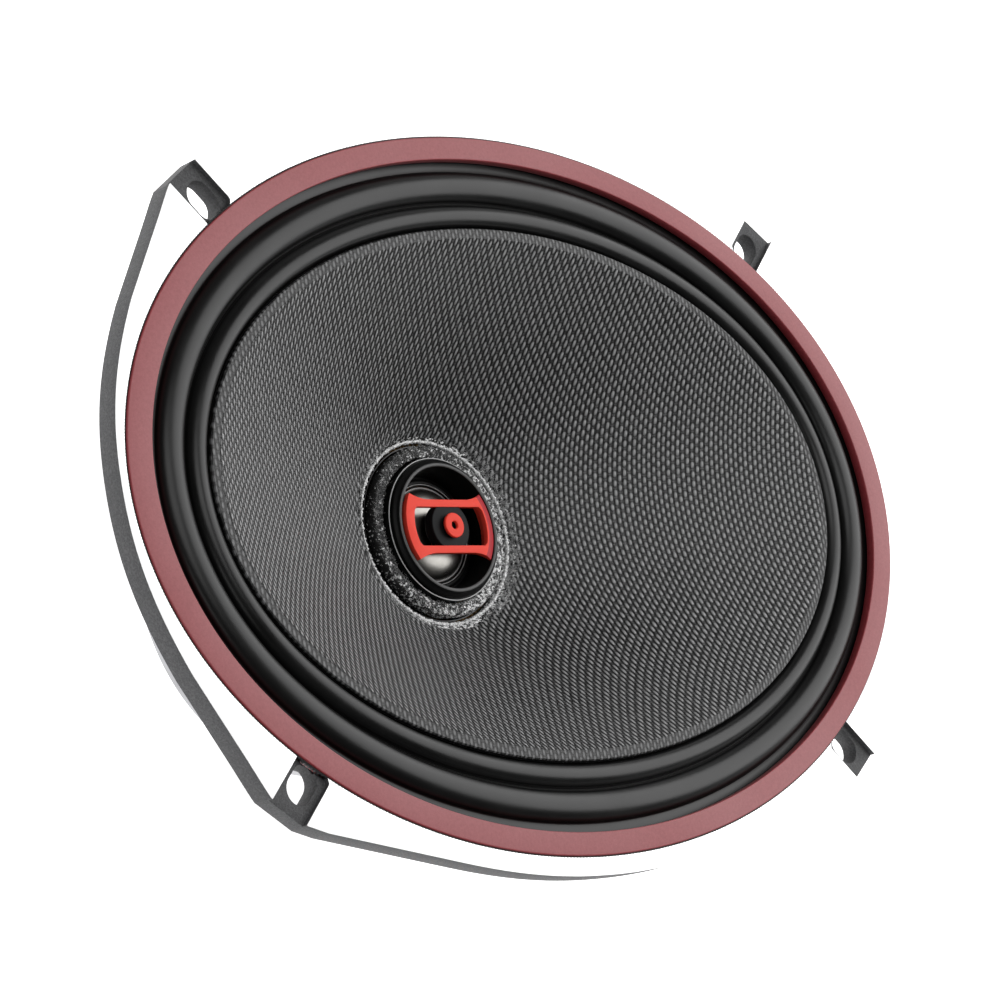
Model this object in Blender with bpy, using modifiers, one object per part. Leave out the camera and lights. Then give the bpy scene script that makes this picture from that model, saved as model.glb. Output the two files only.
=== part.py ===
"""Coaxial car speaker of the 6 x 9 inch size, built from its separate pieces.

The speaker stands on the rear of its magnet, with its cone facing up. Z is the
axis of the voice coil, X the long way of the oval and Y the short way. Lengths
in this script are in millimetres, and mm() turns them into Blender's metres.
"""

import math

import bmesh
import bpy

NAME = "coaxial_speaker"
GAP = 0.3  # clearance between neighbouring pieces

# Heights of the main faces above the rear of the magnet.
RING_FRONT = 86.0
FLANGE_FRONT = 85.6
FLANGE_BACK = 80.6
RING_SEAT = 83.5
SURROUND_SEAT = 82.2
POCKET_FLOOR = 84.4
BOWL_RIM = 74.0
SPIDER_SEAT = 40.4
BASE_FLOOR = 33.2
BASE_BACK = 29.9

# Half axes of the concentric ovals, along X and Y.
FLANGE_HALF = (114.0, 81.3)
RING_OUTER = (112.0, 77.2)
RING_INNER = (105.9, 72.3)
SURROUND_OUTER = (109.6, 75.1)
SURROUND_LEDGE = (109.9, 75.4)
FLANGE_HOLE = (103.8, 70.2)
BOWL_OUTER = (107.0, 73.7)
BOWL_WALL = 3.0
CONE_EDGE = (91.0, 57.4)
CONE_RIM = 2.2
CONE_TOP = 85.0

# Ears: one slotted screw seat in each corner of the flange.
EAR_CENTRE = (81.2, 58.1)
EAR_ANGLE = 45.0
SLOT_LENGTH = 8.6
SLOT_WIDTH = 6.2
POCKET_WIDTH = 9.0
POCKET_REACH = 4.6
EAR_CORNER = (90.4, 60.3)
END_RUN = ((104.4, 36.6), (94.8, 52.8))  # straight stretch of the flange beside its bowed end

# Basket spokes, windows and base.
SPOKE_ANGLES = (0, 38, 90, 142, 180, 218, 270, 322)
SPOKE_WIDTH = 9.0
WINDOW_LOW = 44.0
WINDOW_HIGH = 71.5
BASE_RADIUS = 46.0
BASE_HOLE = 25.0
CUP_RADIUS = 38.5
SPIDER_RADIUS = 42.7
SCREW_CIRCLE = 32.0
SCREW_HOLE = 2.3

# Motor.
PLATE_RADIUS = 44.0
PLATE_HEIGHT = 6.0
MAGNET_RADIUS = 45.0
MAGNET_HOLE = 27.0
MAGNET_HEIGHT = 17.0
TOP_PLATE_RADIUS = 43.0
TOP_PLATE_HOLE = 21.25
POLE_RADIUS = 18.6
POLE_TOP = 31.5
NUT_WELL = (10.0, 8.0)  # radius and depth of the recess in the back plate
GROOVE = (2.2, 3.0)  # half width and depth of the lead groove in the back plate
BASE_SCREW = (3.4, 1.9, 2.2, 25.0)  # radius of head and shank, height of head, end of shank

# Moving assembly.
FORMER = (19.35, 19.65)  # inner and outer radius
FORMER_SPAN = (19.5, 51.0)
WINDING = (19.95, 20.75)
WINDING_SPAN = (20.1, 33.1)
CONE_NECK = (20.3, 49.3)  # radius and height of the cone's front at the neck
CONE_THICK = 1.0
BEAD_RADIUS = 0.75
SEAL = (16.25, 19.05)
SEAL_SPAN = (48.7, 51.9)

# Tweeter, on a hollow post through the pole.
POST_RADIUS = 4.1
POST_BORE = 2.3
POST_SPAN = (3.6, 38.2)
POST_HEAD = 7.0
SPACER_RADIUS = 12.0
WASHER = (8.6, 1.0)  # radius and thickness
NUT = (7.4, 2.6)  # radius over the corners and thickness
HOUSING_RADIUS = 15.9
HOUSING_WALL = 1.6
HOUSING_SPAN = (34.0, 53.0)
HOUSING_FLOOR = 2.0
YOKE_RADIUS = 13.9
YOKE_SPAN = (39.0, 47.0)
YOKE_CUP = (11.2, 2.2)  # inner radius and floor thickness
TWEETER_MAGNET = (9.0, 2.8)  # radius and thickness
TWEETER_PLATE = (9.6, 2.2)  # radius and thickness
TWEETER_COIL = (10.0, 10.7)
DOME_EDGE = (10.6, 47.6)
DOME_RISE = 3.4
BEZEL_TOP = 54.7
GUARD_RADIUS = 13.1
GUARD_SPAN = (54.3, 55.5)
GUARD_HALF_HEIGHT = 7.3
GUARD_END = 2.4  # width of the end arcs
BAR_CENTRE = 5.1
BAR_WIDTH = 1.6
PLUG_RADII = (3.6, 5.5, 4.4)  # face, flange and foot
PLUG_FLANGE = (52.6, 54.0)
CAP = (0.85, 2.75, 0.8)  # inner and outer radius and thickness

# Terminal board on the spoke at -Y.
BOARD = (32.0, 14.0, 1.6)  # width, height and thickness
BOARD_CENTRE = (0.0, -66.3, 56.0)
BOARD_BOSS = ((-7, -65.2, 50), (7, -52.5, 62))
TERMINAL_X = 10.0
TERMINAL_WIDTHS = {"positive": 6.3, "negative": 4.8}
TERMINAL_THICK = 0.8
TERMINAL_HEIGHTS = (42.0, 50.6, 51.6, 61.0)  # end, lower and upper bend, top
TERMINAL_OFFSET = 0.6  # how far the bend brings the blade out from the board
RIVET_HEIGHT = 57.0
RIVET_HOLE = 1.6
CAPACITOR_RADIUS = 4.0
CAPACITOR_SPAN = (50.0, 63.0)
LEAD_RADIUS = 0.6
TINSEL_ROUTE = (
    (10, -64.6, 57),
    (10, -58, 53.5),
    (9.5, -50, 52),
    (8.5, -42, 53.5),
    (7.6, -36, 56.9),
    (7.2, -33.4, 58.8),
)
TWEETER_LEAD_ROUTE = (
    (0.85, 0, 38.7),
    (0.85, 0, 30),
    (0.85, 0, 20),
    (0.85, 0, 10),
    (0.85, -0.5, 4.2),
    (0.85, -3.5, 1.9),
    (0.85, -12, 1.6),
    (0.85, -28, 1.6),
    (0.85, -42, 1.6),
    (0.9, -47.4, 4.0),
    (1.5, -48.2, 14),
    (3.0, -48.6, 26),
    (5.0, -50.5, 37),
    (8.2, -55.5, 44.5),
    (11.5, -61, 49.0),
    (13.0, -64.6, 52.0),
)

# How finely the round pieces are divided.
OVAL_STEPS = 44
ROUND_STEPS = 28
SMALL_STEPS = 16
SCREW_STEPS = 8
SPIDER_STEPS = 24

MATERIALS = {  # colour, roughness, metallic
    "basket_coat": ((0.045, 0.045, 0.05), 0.55, 0.0),
    "ring_red": ((0.42, 0.12, 0.12), 0.5, 0.3),
    "surround_rubber": ((0.02, 0.02, 0.02), 0.5, 0.0),
    "glass_weave": ((0.09, 0.09, 0.095), 0.45, 0.0),
    "neck_adhesive": ((0.3, 0.3, 0.3), 0.2, 0.0),
    "seal_felt": ((0.12, 0.12, 0.12), 0.9, 0.0),
    "former_film": ((0.45, 0.22, 0.06), 0.4, 0.0),
    "copper_wire": ((0.6, 0.25, 0.12), 0.3, 1.0),
    "spider_cloth": ((0.5, 0.33, 0.12), 0.85, 0.0),
    "plated_steel": ((0.55, 0.55, 0.56), 0.35, 1.0),
    "black_steel": ((0.03, 0.03, 0.03), 0.45, 0.4),
    "ferrite": ((0.08, 0.08, 0.085), 0.7, 0.0),
    "housing_black": ((0.015, 0.015, 0.015), 0.35, 0.0),
    "dome_film": ((0.5, 0.5, 0.5), 0.25, 0.6),
    "guard_red": ((0.8, 0.07, 0.04), 0.35, 0.0),
    "board_laminate": ((0.05, 0.05, 0.05), 0.6, 0.0),
    "terminal_tin": ((0.7, 0.68, 0.62), 0.3, 1.0),
    "brass_rivet": ((0.7, 0.5, 0.2), 0.35, 1.0),
    "capacitor_film": ((0.55, 0.1, 0.05), 0.35, 0.0),
    "tinsel_braid": ((0.55, 0.5, 0.42), 0.5, 0.8),
    "lead_red": ((0.6, 0.03, 0.03), 0.45, 0.0),
    "lead_black": ((0.02, 0.02, 0.02), 0.45, 0.0),
}


def mm(length):
    return length * 0.001


def material(slot):
    """The slot's Principled material, made once."""
    if slot in bpy.data.materials:
        return bpy.data.materials[slot]
    colour, roughness, metallic = MATERIALS[slot]
    made = bpy.data.materials.new(slot)
    made.use_nodes = True
    shader = made.node_tree.nodes["Principled BSDF"]
    shader.inputs["Base Color"].default_value = (*colour, 1.0)
    shader.inputs["Roughness"].default_value = roughness
    shader.inputs["Metallic"].default_value = metallic
    made.diffuse_color = (*colour, 1.0)
    return made


def add_part(name, data, slot):
    """A named piece of the speaker, in its own material."""
    obj = bpy.data.objects.new(name, data)
    data.materials.append(material(slot))
    parts.objects.link(obj)
    return obj


def add_guide(name, data, collection):
    """A cutter or a shape that is joined to a piece; it isn't a piece itself."""
    obj = bpy.data.objects.new(name, data)
    obj.hide_render = True
    obj.display_type = "WIRE"
    collection.objects.link(obj)
    return obj


def smooth(mesh, angle=35):
    mesh.shade_smooth()
    mesh.set_sharp_from_angle(angle=math.radians(angle))


# ---------------------------------------------------------------- outlines


def arc(centre, radii, start, end, steps):
    """Points of an elliptic arc from start to end, in degrees, ends included."""
    points = []
    for step in range(steps + 1):
        angle = math.radians(start + (end - start) * step / steps)
        points.append((centre[0] + radii[0] * math.cos(angle), centre[1] + radii[1] * math.sin(angle)))
    return points


def bezier(start, start_handle, end_handle, end, steps):
    """Points of a cubic curve from start to end, without the last one."""
    points = []
    for step in range(steps):
        t = step / steps
        weights = ((1 - t) ** 3, 3 * t * (1 - t) ** 2, 3 * t * t * (1 - t), t ** 3)
        corners = (start, start_handle, end_handle, end)
        points.append(tuple(sum(w * c[i] for w, c in zip(weights, corners)) for i in (0, 1)))
    return points


def four_quadrants(quadrant):
    """A closed outline from the points of its +X +Y quarter, +X axis first and +Y axis last."""
    mirrored = [(-x, y) for x, y in reversed(quadrant[:-1])]
    upper = quadrant + mirrored
    lower = [(x, -y) for x, y in reversed(upper[1:-1])]
    return upper + lower


def flange_outline():
    """The flange: bowed long and short sides that run almost straight into clipped ears."""
    half_x, half_y = FLANGE_HALF
    run_start, run_end = END_RUN
    end_bow = bezier((half_x, 0), (half_x, 14), (110.8, 24.2), run_start, 5)
    end_corner = bezier(run_end, (93.5, 55.0), (91.9, 58.0), EAR_CORNER, 3)
    ear_end = [EAR_CORNER, (82.4, 66.2), (77.5, 67.9)]
    side_bow = bezier((45.0, 75.6), (30.0, 79.2), (17.0, half_y), (0, half_y), 5)
    quadrant = end_bow + [run_start] + end_corner + ear_end + side_bow + [(0, half_y)]
    return four_quadrants(quadrant)


def along_ear(distance, offset, sign_x, sign_y):
    """The point at a distance outwards along an ear, and an offset to its side."""
    turn = math.radians(EAR_ANGLE)
    x = EAR_CENTRE[0] + distance * math.cos(turn) - offset * math.sin(turn)
    y = EAR_CENTRE[1] + distance * math.sin(turn) + offset * math.cos(turn)
    return (sign_x * x, sign_y * y)


def pocket_outline(sign_x, sign_y):
    half = POCKET_WIDTH / 2
    corners = ((-POCKET_REACH, -half), (20, -half), (20, half), (-POCKET_REACH, half))
    return [along_ear(distance, offset, sign_x, sign_y) for distance, offset in corners]


def slot_outline(sign_x, sign_y):
    radius = SLOT_WIDTH / 2
    straight = SLOT_LENGTH / 2 - radius
    outer_end = arc((straight, 0), (radius, radius), -90, 90, 6)
    inner_end = arc((-straight, 0), (radius, radius), 90, 270, 6)
    return [along_ear(distance, offset, sign_x, sign_y) for distance, offset in outer_end + inner_end]


def window_outline(first, second):
    """The wedge between two spokes, with their sides parallel to the spokes' middles."""
    low = math.radians(first)
    high = math.radians(second)
    middle = (low + high) / 2
    apex = SPOKE_WIDTH / 2 / math.sin((high - low) / 2)
    half = SPOKE_WIDTH / 2
    reach = 130.0
    return [
        (apex * math.cos(middle), apex * math.sin(middle)),
        (reach * math.cos(low) - half * math.sin(low), reach * math.sin(low) + half * math.cos(low)),
        (reach * math.cos(high) + half * math.sin(high), reach * math.sin(high) - half * math.cos(high)),
    ]


# ------------------------------------------------------------------ solids


def extruded_mesh(name, outline, low, high):
    """A flat outline given its thickness, as a welded mesh."""
    curve = bpy.data.curves.new(name, "CURVE")
    curve.dimensions = "2D"
    curve.fill_mode = "BOTH"
    curve.extrude = mm(high - low) / 2
    spline = curve.splines.new("POLY")
    spline.points.add(len(outline) - 1)
    for point, (x, y) in zip(spline.points, outline):
        point.co = (mm(x), mm(y), 0, 1)
    spline.use_cyclic_u = True
    holder = bpy.data.objects.new(name + "_outline", curve)
    parts.objects.link(holder)
    bpy.context.view_layer.update()
    evaluated = holder.evaluated_get(bpy.context.evaluated_depsgraph_get())
    mesh = bpy.data.meshes.new_from_object(evaluated)
    bpy.data.objects.remove(holder)
    bpy.data.curves.remove(curve)
    work = bmesh.new()
    work.from_mesh(mesh)
    bmesh.ops.remove_doubles(work, verts=work.verts, dist=1e-6)
    bmesh.ops.recalc_face_normals(work, faces=work.faces)
    bmesh.ops.translate(work, verts=work.verts, vec=(0, 0, mm(low + high) / 2))
    work.to_mesh(mesh)
    work.free()
    mesh.name = name
    return mesh


def loft_mesh(name, loops, steps=OVAL_STEPS, closed=True):
    """A skin through concentric ovals, each given as (half x, half y, height).

    The loops run down the outer side and back up the inner side. A closed skin
    joins the last oval to the first; an open one is capped at both ends.
    """
    work = bmesh.new()
    rows = []
    for half_x, half_y, height in loops:
        row = []
        for step in range(steps):
            angle = 2 * math.pi * step / steps
            place = (mm(half_x * math.cos(angle)), mm(half_y * math.sin(angle)), mm(height))
            row.append(work.verts.new(place))
        rows.append(row)
    pairs = list(zip(rows, rows[1:]))
    if closed:
        pairs.append((rows[-1], rows[0]))
    for upper, lower in pairs:
        for step in range(steps):
            after = (step + 1) % steps
            work.faces.new((upper[step], lower[step], lower[after], upper[after]))
    if not closed:
        work.faces.new(rows[0])
        work.faces.new(list(reversed(rows[-1])))
    mesh = bpy.data.meshes.new(name)
    work.to_mesh(mesh)
    work.free()
    return mesh


def lofted(name, loops, slot, steps=OVAL_STEPS):
    mesh = loft_mesh(name, loops, steps)
    smooth(mesh)
    return add_part(name, mesh, slot)


def profile_mesh(name, profile, closed):
    """The half section of a turned piece, as edges at +X from top to bottom."""
    mesh = bpy.data.meshes.new(name)
    points = [(mm(radius), 0, mm(height)) for radius, height in profile]
    edges = [(index, index + 1) for index in range(len(points) - 1)]
    if closed:
        edges.append((len(points) - 1, 0))
    mesh.from_pydata(points, edges, [])
    return mesh


def add_screw(obj, steps):
    turn = obj.modifiers.new("turn", "SCREW")
    turn.axis = "Z"
    turn.angle = 2 * math.pi
    turn.steps = steps
    turn.render_steps = steps
    turn.use_merge_vertices = True
    turn.merge_threshold = 1e-6
    turn.use_smooth_shade = True


def turned(name, profile, slot, steps=ROUND_STEPS, closed=True):
    """A turned piece. A closed profile leaves a hole; an open one starts and ends on the axis."""
    obj = add_part(name, profile_mesh(name, profile, closed), slot)
    add_screw(obj, steps)
    return obj


def ring_profile(inner, outer, low, high):
    return [(inner, high), (outer, high), (outer, low), (inner, low)]


def disc_profile(radius, low, high):
    return [(0, high), (radius, high), (radius, low), (0, low)]


def cylinder_mesh(name, radius, low, high, steps):
    work = bmesh.new()
    bmesh.ops.create_cone(
        work, cap_ends=True, segments=steps, radius1=mm(radius), radius2=mm(radius), depth=mm(high - low)
    )
    bmesh.ops.translate(work, verts=work.verts, vec=(0, 0, mm(low + high) / 2))
    mesh = bpy.data.meshes.new(name)
    work.to_mesh(mesh)
    work.free()
    return mesh


def box_mesh(name, low, high):
    work = bmesh.new()
    bmesh.ops.create_cube(work, size=1.0)
    for vert in work.verts:
        for axis in range(3):
            vert.co[axis] = mm(high[axis] if vert.co[axis] > 0 else low[axis])
    mesh = bpy.data.meshes.new(name)
    work.to_mesh(mesh)
    work.free()
    return mesh


def cut(obj, cutters):
    """Cuts every object of a collection out of a piece."""
    boolean = obj.modifiers.new("cut", "BOOLEAN")
    boolean.operation = "DIFFERENCE"
    boolean.operand_type = "COLLECTION"
    boolean.collection = cutters
    boolean.solver = "EXACT"


def join(obj, shape):
    boolean = obj.modifiers.new("join", "BOOLEAN")
    boolean.operation = "UNION"
    boolean.object = shape
    boolean.solver = "EXACT"


def cutter_collection(name):
    collection = bpy.data.collections.new(name)
    cutters.children.link(collection)
    return collection


def smooth_route(points, spacing):
    """Points about a spacing apart on the smooth curve through a lead's own points."""
    ends = [points[0]] + points + [points[-1]]
    route = []
    for before, start, end, after in zip(ends, ends[1:], ends[2:], ends[3:]):
        steps = max(1, round(math.dist(start, end) / spacing))
        for step in range(steps):
            t = step / steps
            point = []
            for b, s, e, a in zip(before, start, end, after):
                square = 2 * b - 5 * s + 4 * e - a
                cube = 3 * s - b - 3 * e + a
                point.append(0.5 * (2 * s + (e - b) * t + square * t * t + cube * t ** 3))
            route.append(tuple(point))
    return route + [points[-1]]


def lead(name, points, radius, slot, spacing=3.0):
    """A wire along a smooth route, with filled ends."""
    curve = bpy.data.curves.new(name, "CURVE")
    curve.dimensions = "3D"
    curve.bevel_depth = mm(radius)
    curve.bevel_resolution = 2
    curve.use_fill_caps = True
    route = smooth_route(points, spacing)
    spline = curve.splines.new("POLY")
    spline.points.add(len(route) - 1)
    for point, place in zip(spline.points, route):
        point.co = (mm(place[0]), mm(place[1]), mm(place[2]), 1)
    return add_part(name, curve, slot)


# ------------------------------------------------------------------ basket


def bowl_loops():
    """The basket's bowl: an oval rim, a cone of spokes, the spider's seat and the base."""
    inner = (BOWL_OUTER[0] - BOWL_WALL, BOWL_OUTER[1] - BOWL_WALL)
    inside_flange = FLANGE_BACK + 1.0
    return [
        (*BOWL_OUTER, inside_flange),
        (*BOWL_OUTER, BOWL_RIM),
        (BASE_RADIUS, BASE_RADIUS, SPIDER_SEAT - 0.4),
        (BASE_RADIUS, BASE_RADIUS, BASE_BACK),
        (BASE_HOLE, BASE_HOLE, BASE_BACK),
        (BASE_HOLE, BASE_HOLE, BASE_FLOOR),
        (CUP_RADIUS, CUP_RADIUS, BASE_FLOOR),
        (CUP_RADIUS, CUP_RADIUS, SPIDER_SEAT),
        (SPIDER_RADIUS, SPIDER_RADIUS, SPIDER_SEAT),
        (*inner, BOWL_RIM + 1.2),
        (*inner, inside_flange),
    ]


def screw_places():
    places = []
    for quarter in range(4):
        angle = math.radians(45 + 90 * quarter)
        places.append((SCREW_CIRCLE * math.cos(angle), SCREW_CIRCLE * math.sin(angle)))
    return places


def cut_screw_holes(collection, name, low, high):
    for index, (x, y) in enumerate(screw_places()):
        shaft = cylinder_mesh(name, SCREW_HOLE, low, high, SCREW_STEPS)
        hole = add_guide(f"{name}_{index}", shaft, collection)
        hole.location = (mm(x), mm(y), 0)


def make_basket():
    flange = extruded_mesh("basket", flange_outline(), FLANGE_BACK, FLANGE_FRONT)
    basket = add_part("basket", flange, "basket_coat")
    join(basket, add_guide("basket_bowl", loft_mesh("basket_bowl", bowl_loops()), joined))
    join(basket, add_guide("board_boss", box_mesh("board_boss", *BOARD_BOSS), joined))

    holes = cutter_collection("basket_cutters")
    above = RING_FRONT + 2
    ovals = (
        ("flange_hole", FLANGE_HOLE, BOWL_RIM + 4),
        ("surround_ledge", SURROUND_LEDGE, SURROUND_SEAT),
        ("ring_recess", (RING_OUTER[0] + GAP, RING_OUTER[1] + GAP), RING_SEAT),
    )
    for name, half, low in ovals:
        add_guide(name, loft_mesh(name, [(*half, above), (*half, low)], closed=False), holes)
    for sign_x in (1, -1):
        for sign_y in (1, -1):
            corner = f"{sign_x:+d}{sign_y:+d}"
            pocket = extruded_mesh("pocket", pocket_outline(sign_x, sign_y), POCKET_FLOOR, above)
            add_guide("pocket" + corner, pocket, holes)
            slot = extruded_mesh("slot", slot_outline(sign_x, sign_y), FLANGE_BACK - 1, POCKET_FLOOR + 1)
            add_guide("slot" + corner, slot, holes)
    for first, second in zip(SPOKE_ANGLES, SPOKE_ANGLES[1:] + (360,)):
        wedge = extruded_mesh("window", window_outline(first, second), WINDOW_LOW, WINDOW_HIGH)
        add_guide(f"window_{first}", wedge, holes)
    cut_screw_holes(holes, "base_hole", BASE_BACK - 2, BASE_FLOOR + 2)
    cut(basket, holes)
    smooth(basket.data)


def make_trim_ring():
    low = RING_SEAT + GAP
    corner = 0.35
    outer = (RING_OUTER[0] - corner, RING_OUTER[1] - corner)
    inner = (RING_INNER[0] + corner, RING_INNER[1] + corner)
    loops = [
        (*inner, RING_FRONT),
        (*outer, RING_FRONT),
        (*RING_OUTER, RING_FRONT - corner),
        (*RING_OUTER, low),
        (*RING_INNER, low),
        (*RING_INNER, RING_FRONT - corner),
    ]
    lofted("trim_ring", loops, "ring_red")


# -------------------------------------------------------- moving assembly


def cone_height(share):
    """Height of the cone's front, from 0 at the neck to 1 at the rim."""
    return CONE_NECK[1] + (CONE_TOP - CONE_NECK[1]) * share


def make_cone():
    rows = 3
    rim = (CONE_EDGE[0] - CONE_RIM, CONE_EDGE[1] - CONE_RIM)
    front = [(*CONE_EDGE, cone_height(1))]
    for row in range(rows, -1, -1):
        share = row / rows
        half = [CONE_NECK[0] + (size - CONE_NECK[0]) * share for size in rim]
        front.append((*half, cone_height(share)))
    back = [(half_x, half_y, height - CONE_THICK) for half_x, half_y, height in reversed(front)]
    lofted("cone", list(reversed(front)) + list(reversed(back)), "glass_weave")


def surround_loop(inset, height):
    """An oval of the surround, at an inset from the trim ring's inner edge."""
    return (RING_INNER[0] - inset, RING_INNER[1] - inset, height)


def make_surround():
    """Two half rolls side by side, between a flat outer seat and a lip under the cone's rim."""
    thick = 0.9
    outer_roll = ((5.55, 83.5), (3.35, 2.4))
    inner_roll = ((12.0, 83.3), (2.5, 2.3))
    lip_top = cone_height(1) - CONE_THICK - GAP
    top = []
    for centre, radii in (outer_roll, inner_roll):
        top += arc(centre, radii, 180, 0, 4)
    top += [(14.5, lip_top), (16.4, lip_top)]
    bottom = [(16.4, lip_top - thick), (13.6, lip_top - thick)]
    for centre, radii in (inner_roll, outer_roll):
        thinner = (radii[0] - thick, radii[1] - thick)
        bottom += arc(centre, thinner, 0, 180, 3)
    seat = RING_SEAT
    loops = [(*SURROUND_OUTER, seat - thick), (*SURROUND_OUTER, seat)]
    loops += [surround_loop(inset, height) for inset, height in top]
    loops += [surround_loop(inset, height) for inset, height in bottom]
    loops.append(surround_loop(2.9, seat - thick))
    lofted("surround", list(reversed(loops)), "surround_rubber")


def make_neck():
    """The voice coil's former and winding, the adhesive bead at the neck and the felt seal."""
    turned("voice_coil_former", ring_profile(*FORMER, *FORMER_SPAN), "former_film")
    turned("voice_coil_winding", ring_profile(*WINDING, *WINDING_SPAN), "copper_wire")
    turned("dust_seal", ring_profile(*SEAL, *SEAL_SPAN), "seal_felt")
    steepest = (cone_height(1) - CONE_NECK[1]) / (CONE_EDGE[1] - CONE_RIM - CONE_NECK[0])
    bead_circle = FORMER[1] + GAP + BEAD_RADIUS + 0.2
    cone_below = CONE_NECK[1] + (bead_circle - CONE_NECK[0]) * steepest
    clear = (BEAD_RADIUS + GAP) / math.cos(math.atan(steepest))
    bead = arc((bead_circle, cone_below + clear), (BEAD_RADIUS, BEAD_RADIUS), 90, -210, 5)
    turned("neck_bead", bead, "neck_adhesive")


def make_spider():
    """The corrugated disc that centres the voice coil."""
    waves = 4
    thick = 0.6
    low = SPIDER_SEAT + GAP
    inner, outer = (22.5, 38.0)
    top = [(FORMER[1] + GAP + 0.1, low + thick), (inner, low + thick)]
    for fold in range(1, 2 * waves):
        radius = inner + (outer - inner) * fold / (2 * waves)
        top.append((radius, low + thick + (1.8 if fold % 2 else 0.0)))
    top += [(outer, low + thick), (SPIDER_RADIUS - GAP, low + thick)]
    bottom = [(radius, height - thick) for radius, height in reversed(top)]
    turned("spider", top + bottom, "spider_cloth", SPIDER_STEPS)


# ------------------------------------------------------------------- motor


def make_motor():
    well_radius, well_depth = NUT_WELL
    bore = POST_RADIUS + GAP
    yoke = [
        (bore, POLE_TOP),
        (POLE_RADIUS - 0.6, POLE_TOP),
        (POLE_RADIUS, POLE_TOP - 0.6),
        (POLE_RADIUS, PLATE_HEIGHT),
        (PLATE_RADIUS - 1.0, PLATE_HEIGHT),
        (PLATE_RADIUS, PLATE_HEIGHT - 1.0),
        (PLATE_RADIUS, 1.5),
        (PLATE_RADIUS - 1.5, 0),
        (well_radius, 0),
        (well_radius, well_depth),
        (bore, well_depth),
    ]
    back_plate = turned("back_plate", yoke, "plated_steel")
    groove = cutter_collection("back_plate_cutters")
    half, depth = GROOVE
    add_guide("lead_groove", box_mesh("lead_groove", (-half, -50, -2), (half, -2, depth)), groove)
    cut(back_plate, groove)

    magnet_low = PLATE_HEIGHT + GAP
    magnet_high = magnet_low + MAGNET_HEIGHT
    turned("magnet", ring_profile(MAGNET_HOLE, MAGNET_RADIUS, magnet_low, magnet_high), "ferrite")
    top_low = magnet_high + GAP
    plate = ring_profile(TOP_PLATE_HOLE, TOP_PLATE_RADIUS, top_low, BASE_BACK - GAP)
    top_plate = turned("top_plate", plate, "plated_steel")
    holes = cutter_collection("top_plate_cutters")
    cut_screw_holes(holes, "plate_hole", top_low - 2, BASE_BACK + 2)
    cut(top_plate, holes)


def make_basket_screws():
    """Four pan-head screws through the basket's base into the top plate."""
    head, shank, head_height, shank_end = BASE_SCREW
    head_low = BASE_FLOOR + GAP
    profile = [
        (0, head_low + head_height),
        (head - 1.0, head_low + head_height - 0.3),
        (head, head_low + 0.8),
        (head, head_low),
        (shank, head_low),
        (shank, shank_end),
        (0, shank_end),
    ]
    for index, (x, y) in enumerate(screw_places()):
        screw = turned(f"basket_screw_{index + 1}", profile, "black_steel", SCREW_STEPS, closed=False)
        screw.location = (mm(x), mm(y), 0)


# ----------------------------------------------------------------- tweeter


def make_tweeter_post():
    """A hollow bolt through the pole: head in the housing, washer and nut in the back plate."""
    low, high = POST_SPAN
    head_low = HOUSING_SPAN[0] + HOUSING_FLOOR + GAP
    post = [
        (POST_BORE, high),
        (POST_HEAD, high),
        (POST_HEAD, head_low),
        (POST_RADIUS, head_low),
        (POST_RADIUS, low),
        (POST_BORE, low),
    ]
    turned("tweeter_post", post, "plated_steel", SMALL_STEPS)
    clearance = POST_RADIUS + GAP
    spacer = ring_profile(clearance, SPACER_RADIUS, POLE_TOP + GAP, HOUSING_SPAN[0] - GAP)
    turned("post_spacer", spacer, "black_steel", SMALL_STEPS)
    washer_high = NUT_WELL[1] - GAP
    washer_low = washer_high - WASHER[1]
    washer = ring_profile(clearance, WASHER[0], washer_low, washer_high)
    turned("post_washer", washer, "plated_steel", SMALL_STEPS)
    nut_high = washer_low - GAP
    nut_low = nut_high - NUT[1]
    hexagon = arc((0, 0), (NUT[0], NUT[0]), 0, 300, 5)
    nut = add_part("post_nut", extruded_mesh("post_nut", hexagon, nut_low, nut_high), "plated_steel")
    thread = cutter_collection("nut_cutters")
    hole = cylinder_mesh("nut_thread", clearance, nut_low - 1, nut_high + 1, SMALL_STEPS)
    add_guide("nut_thread", hole, thread)
    cut(nut, thread)


def make_tweeter_motor():
    low, high = HOUSING_SPAN
    inside = HOUSING_RADIUS - HOUSING_WALL
    housing = [
        (inside, high),
        (HOUSING_RADIUS, high),
        (HOUSING_RADIUS, low),
        (POST_RADIUS + GAP, low),
        (POST_RADIUS + GAP, low + HOUSING_FLOOR),
        (inside, low + HOUSING_FLOOR),
    ]
    turned("tweeter_housing", housing, "housing_black")
    yoke_low, yoke_high = YOKE_SPAN
    cup_radius, cup_floor = YOKE_CUP
    yoke = [
        (0, yoke_low + cup_floor),
        (cup_radius, yoke_low + cup_floor),
        (cup_radius, yoke_high),
        (YOKE_RADIUS, yoke_high),
        (YOKE_RADIUS, yoke_low),
        (0, yoke_low),
    ]
    turned("tweeter_yoke", yoke, "plated_steel", SMALL_STEPS, closed=False)
    magnet_low = yoke_low + cup_floor + GAP
    magnet_high = magnet_low + TWEETER_MAGNET[1]
    magnet = disc_profile(TWEETER_MAGNET[0], magnet_low, magnet_high)
    turned("tweeter_magnet", magnet, "plated_steel", SMALL_STEPS, closed=False)
    plate_low = magnet_high + GAP
    plate = disc_profile(TWEETER_PLATE[0], plate_low, plate_low + TWEETER_PLATE[1])
    turned("tweeter_top_plate", plate, "plated_steel", SMALL_STEPS, closed=False)
    coil = ring_profile(*TWEETER_COIL, plate_low - 0.8, DOME_EDGE[1] - GAP)
    turned("tweeter_coil", coil, "copper_wire", SMALL_STEPS)


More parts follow.
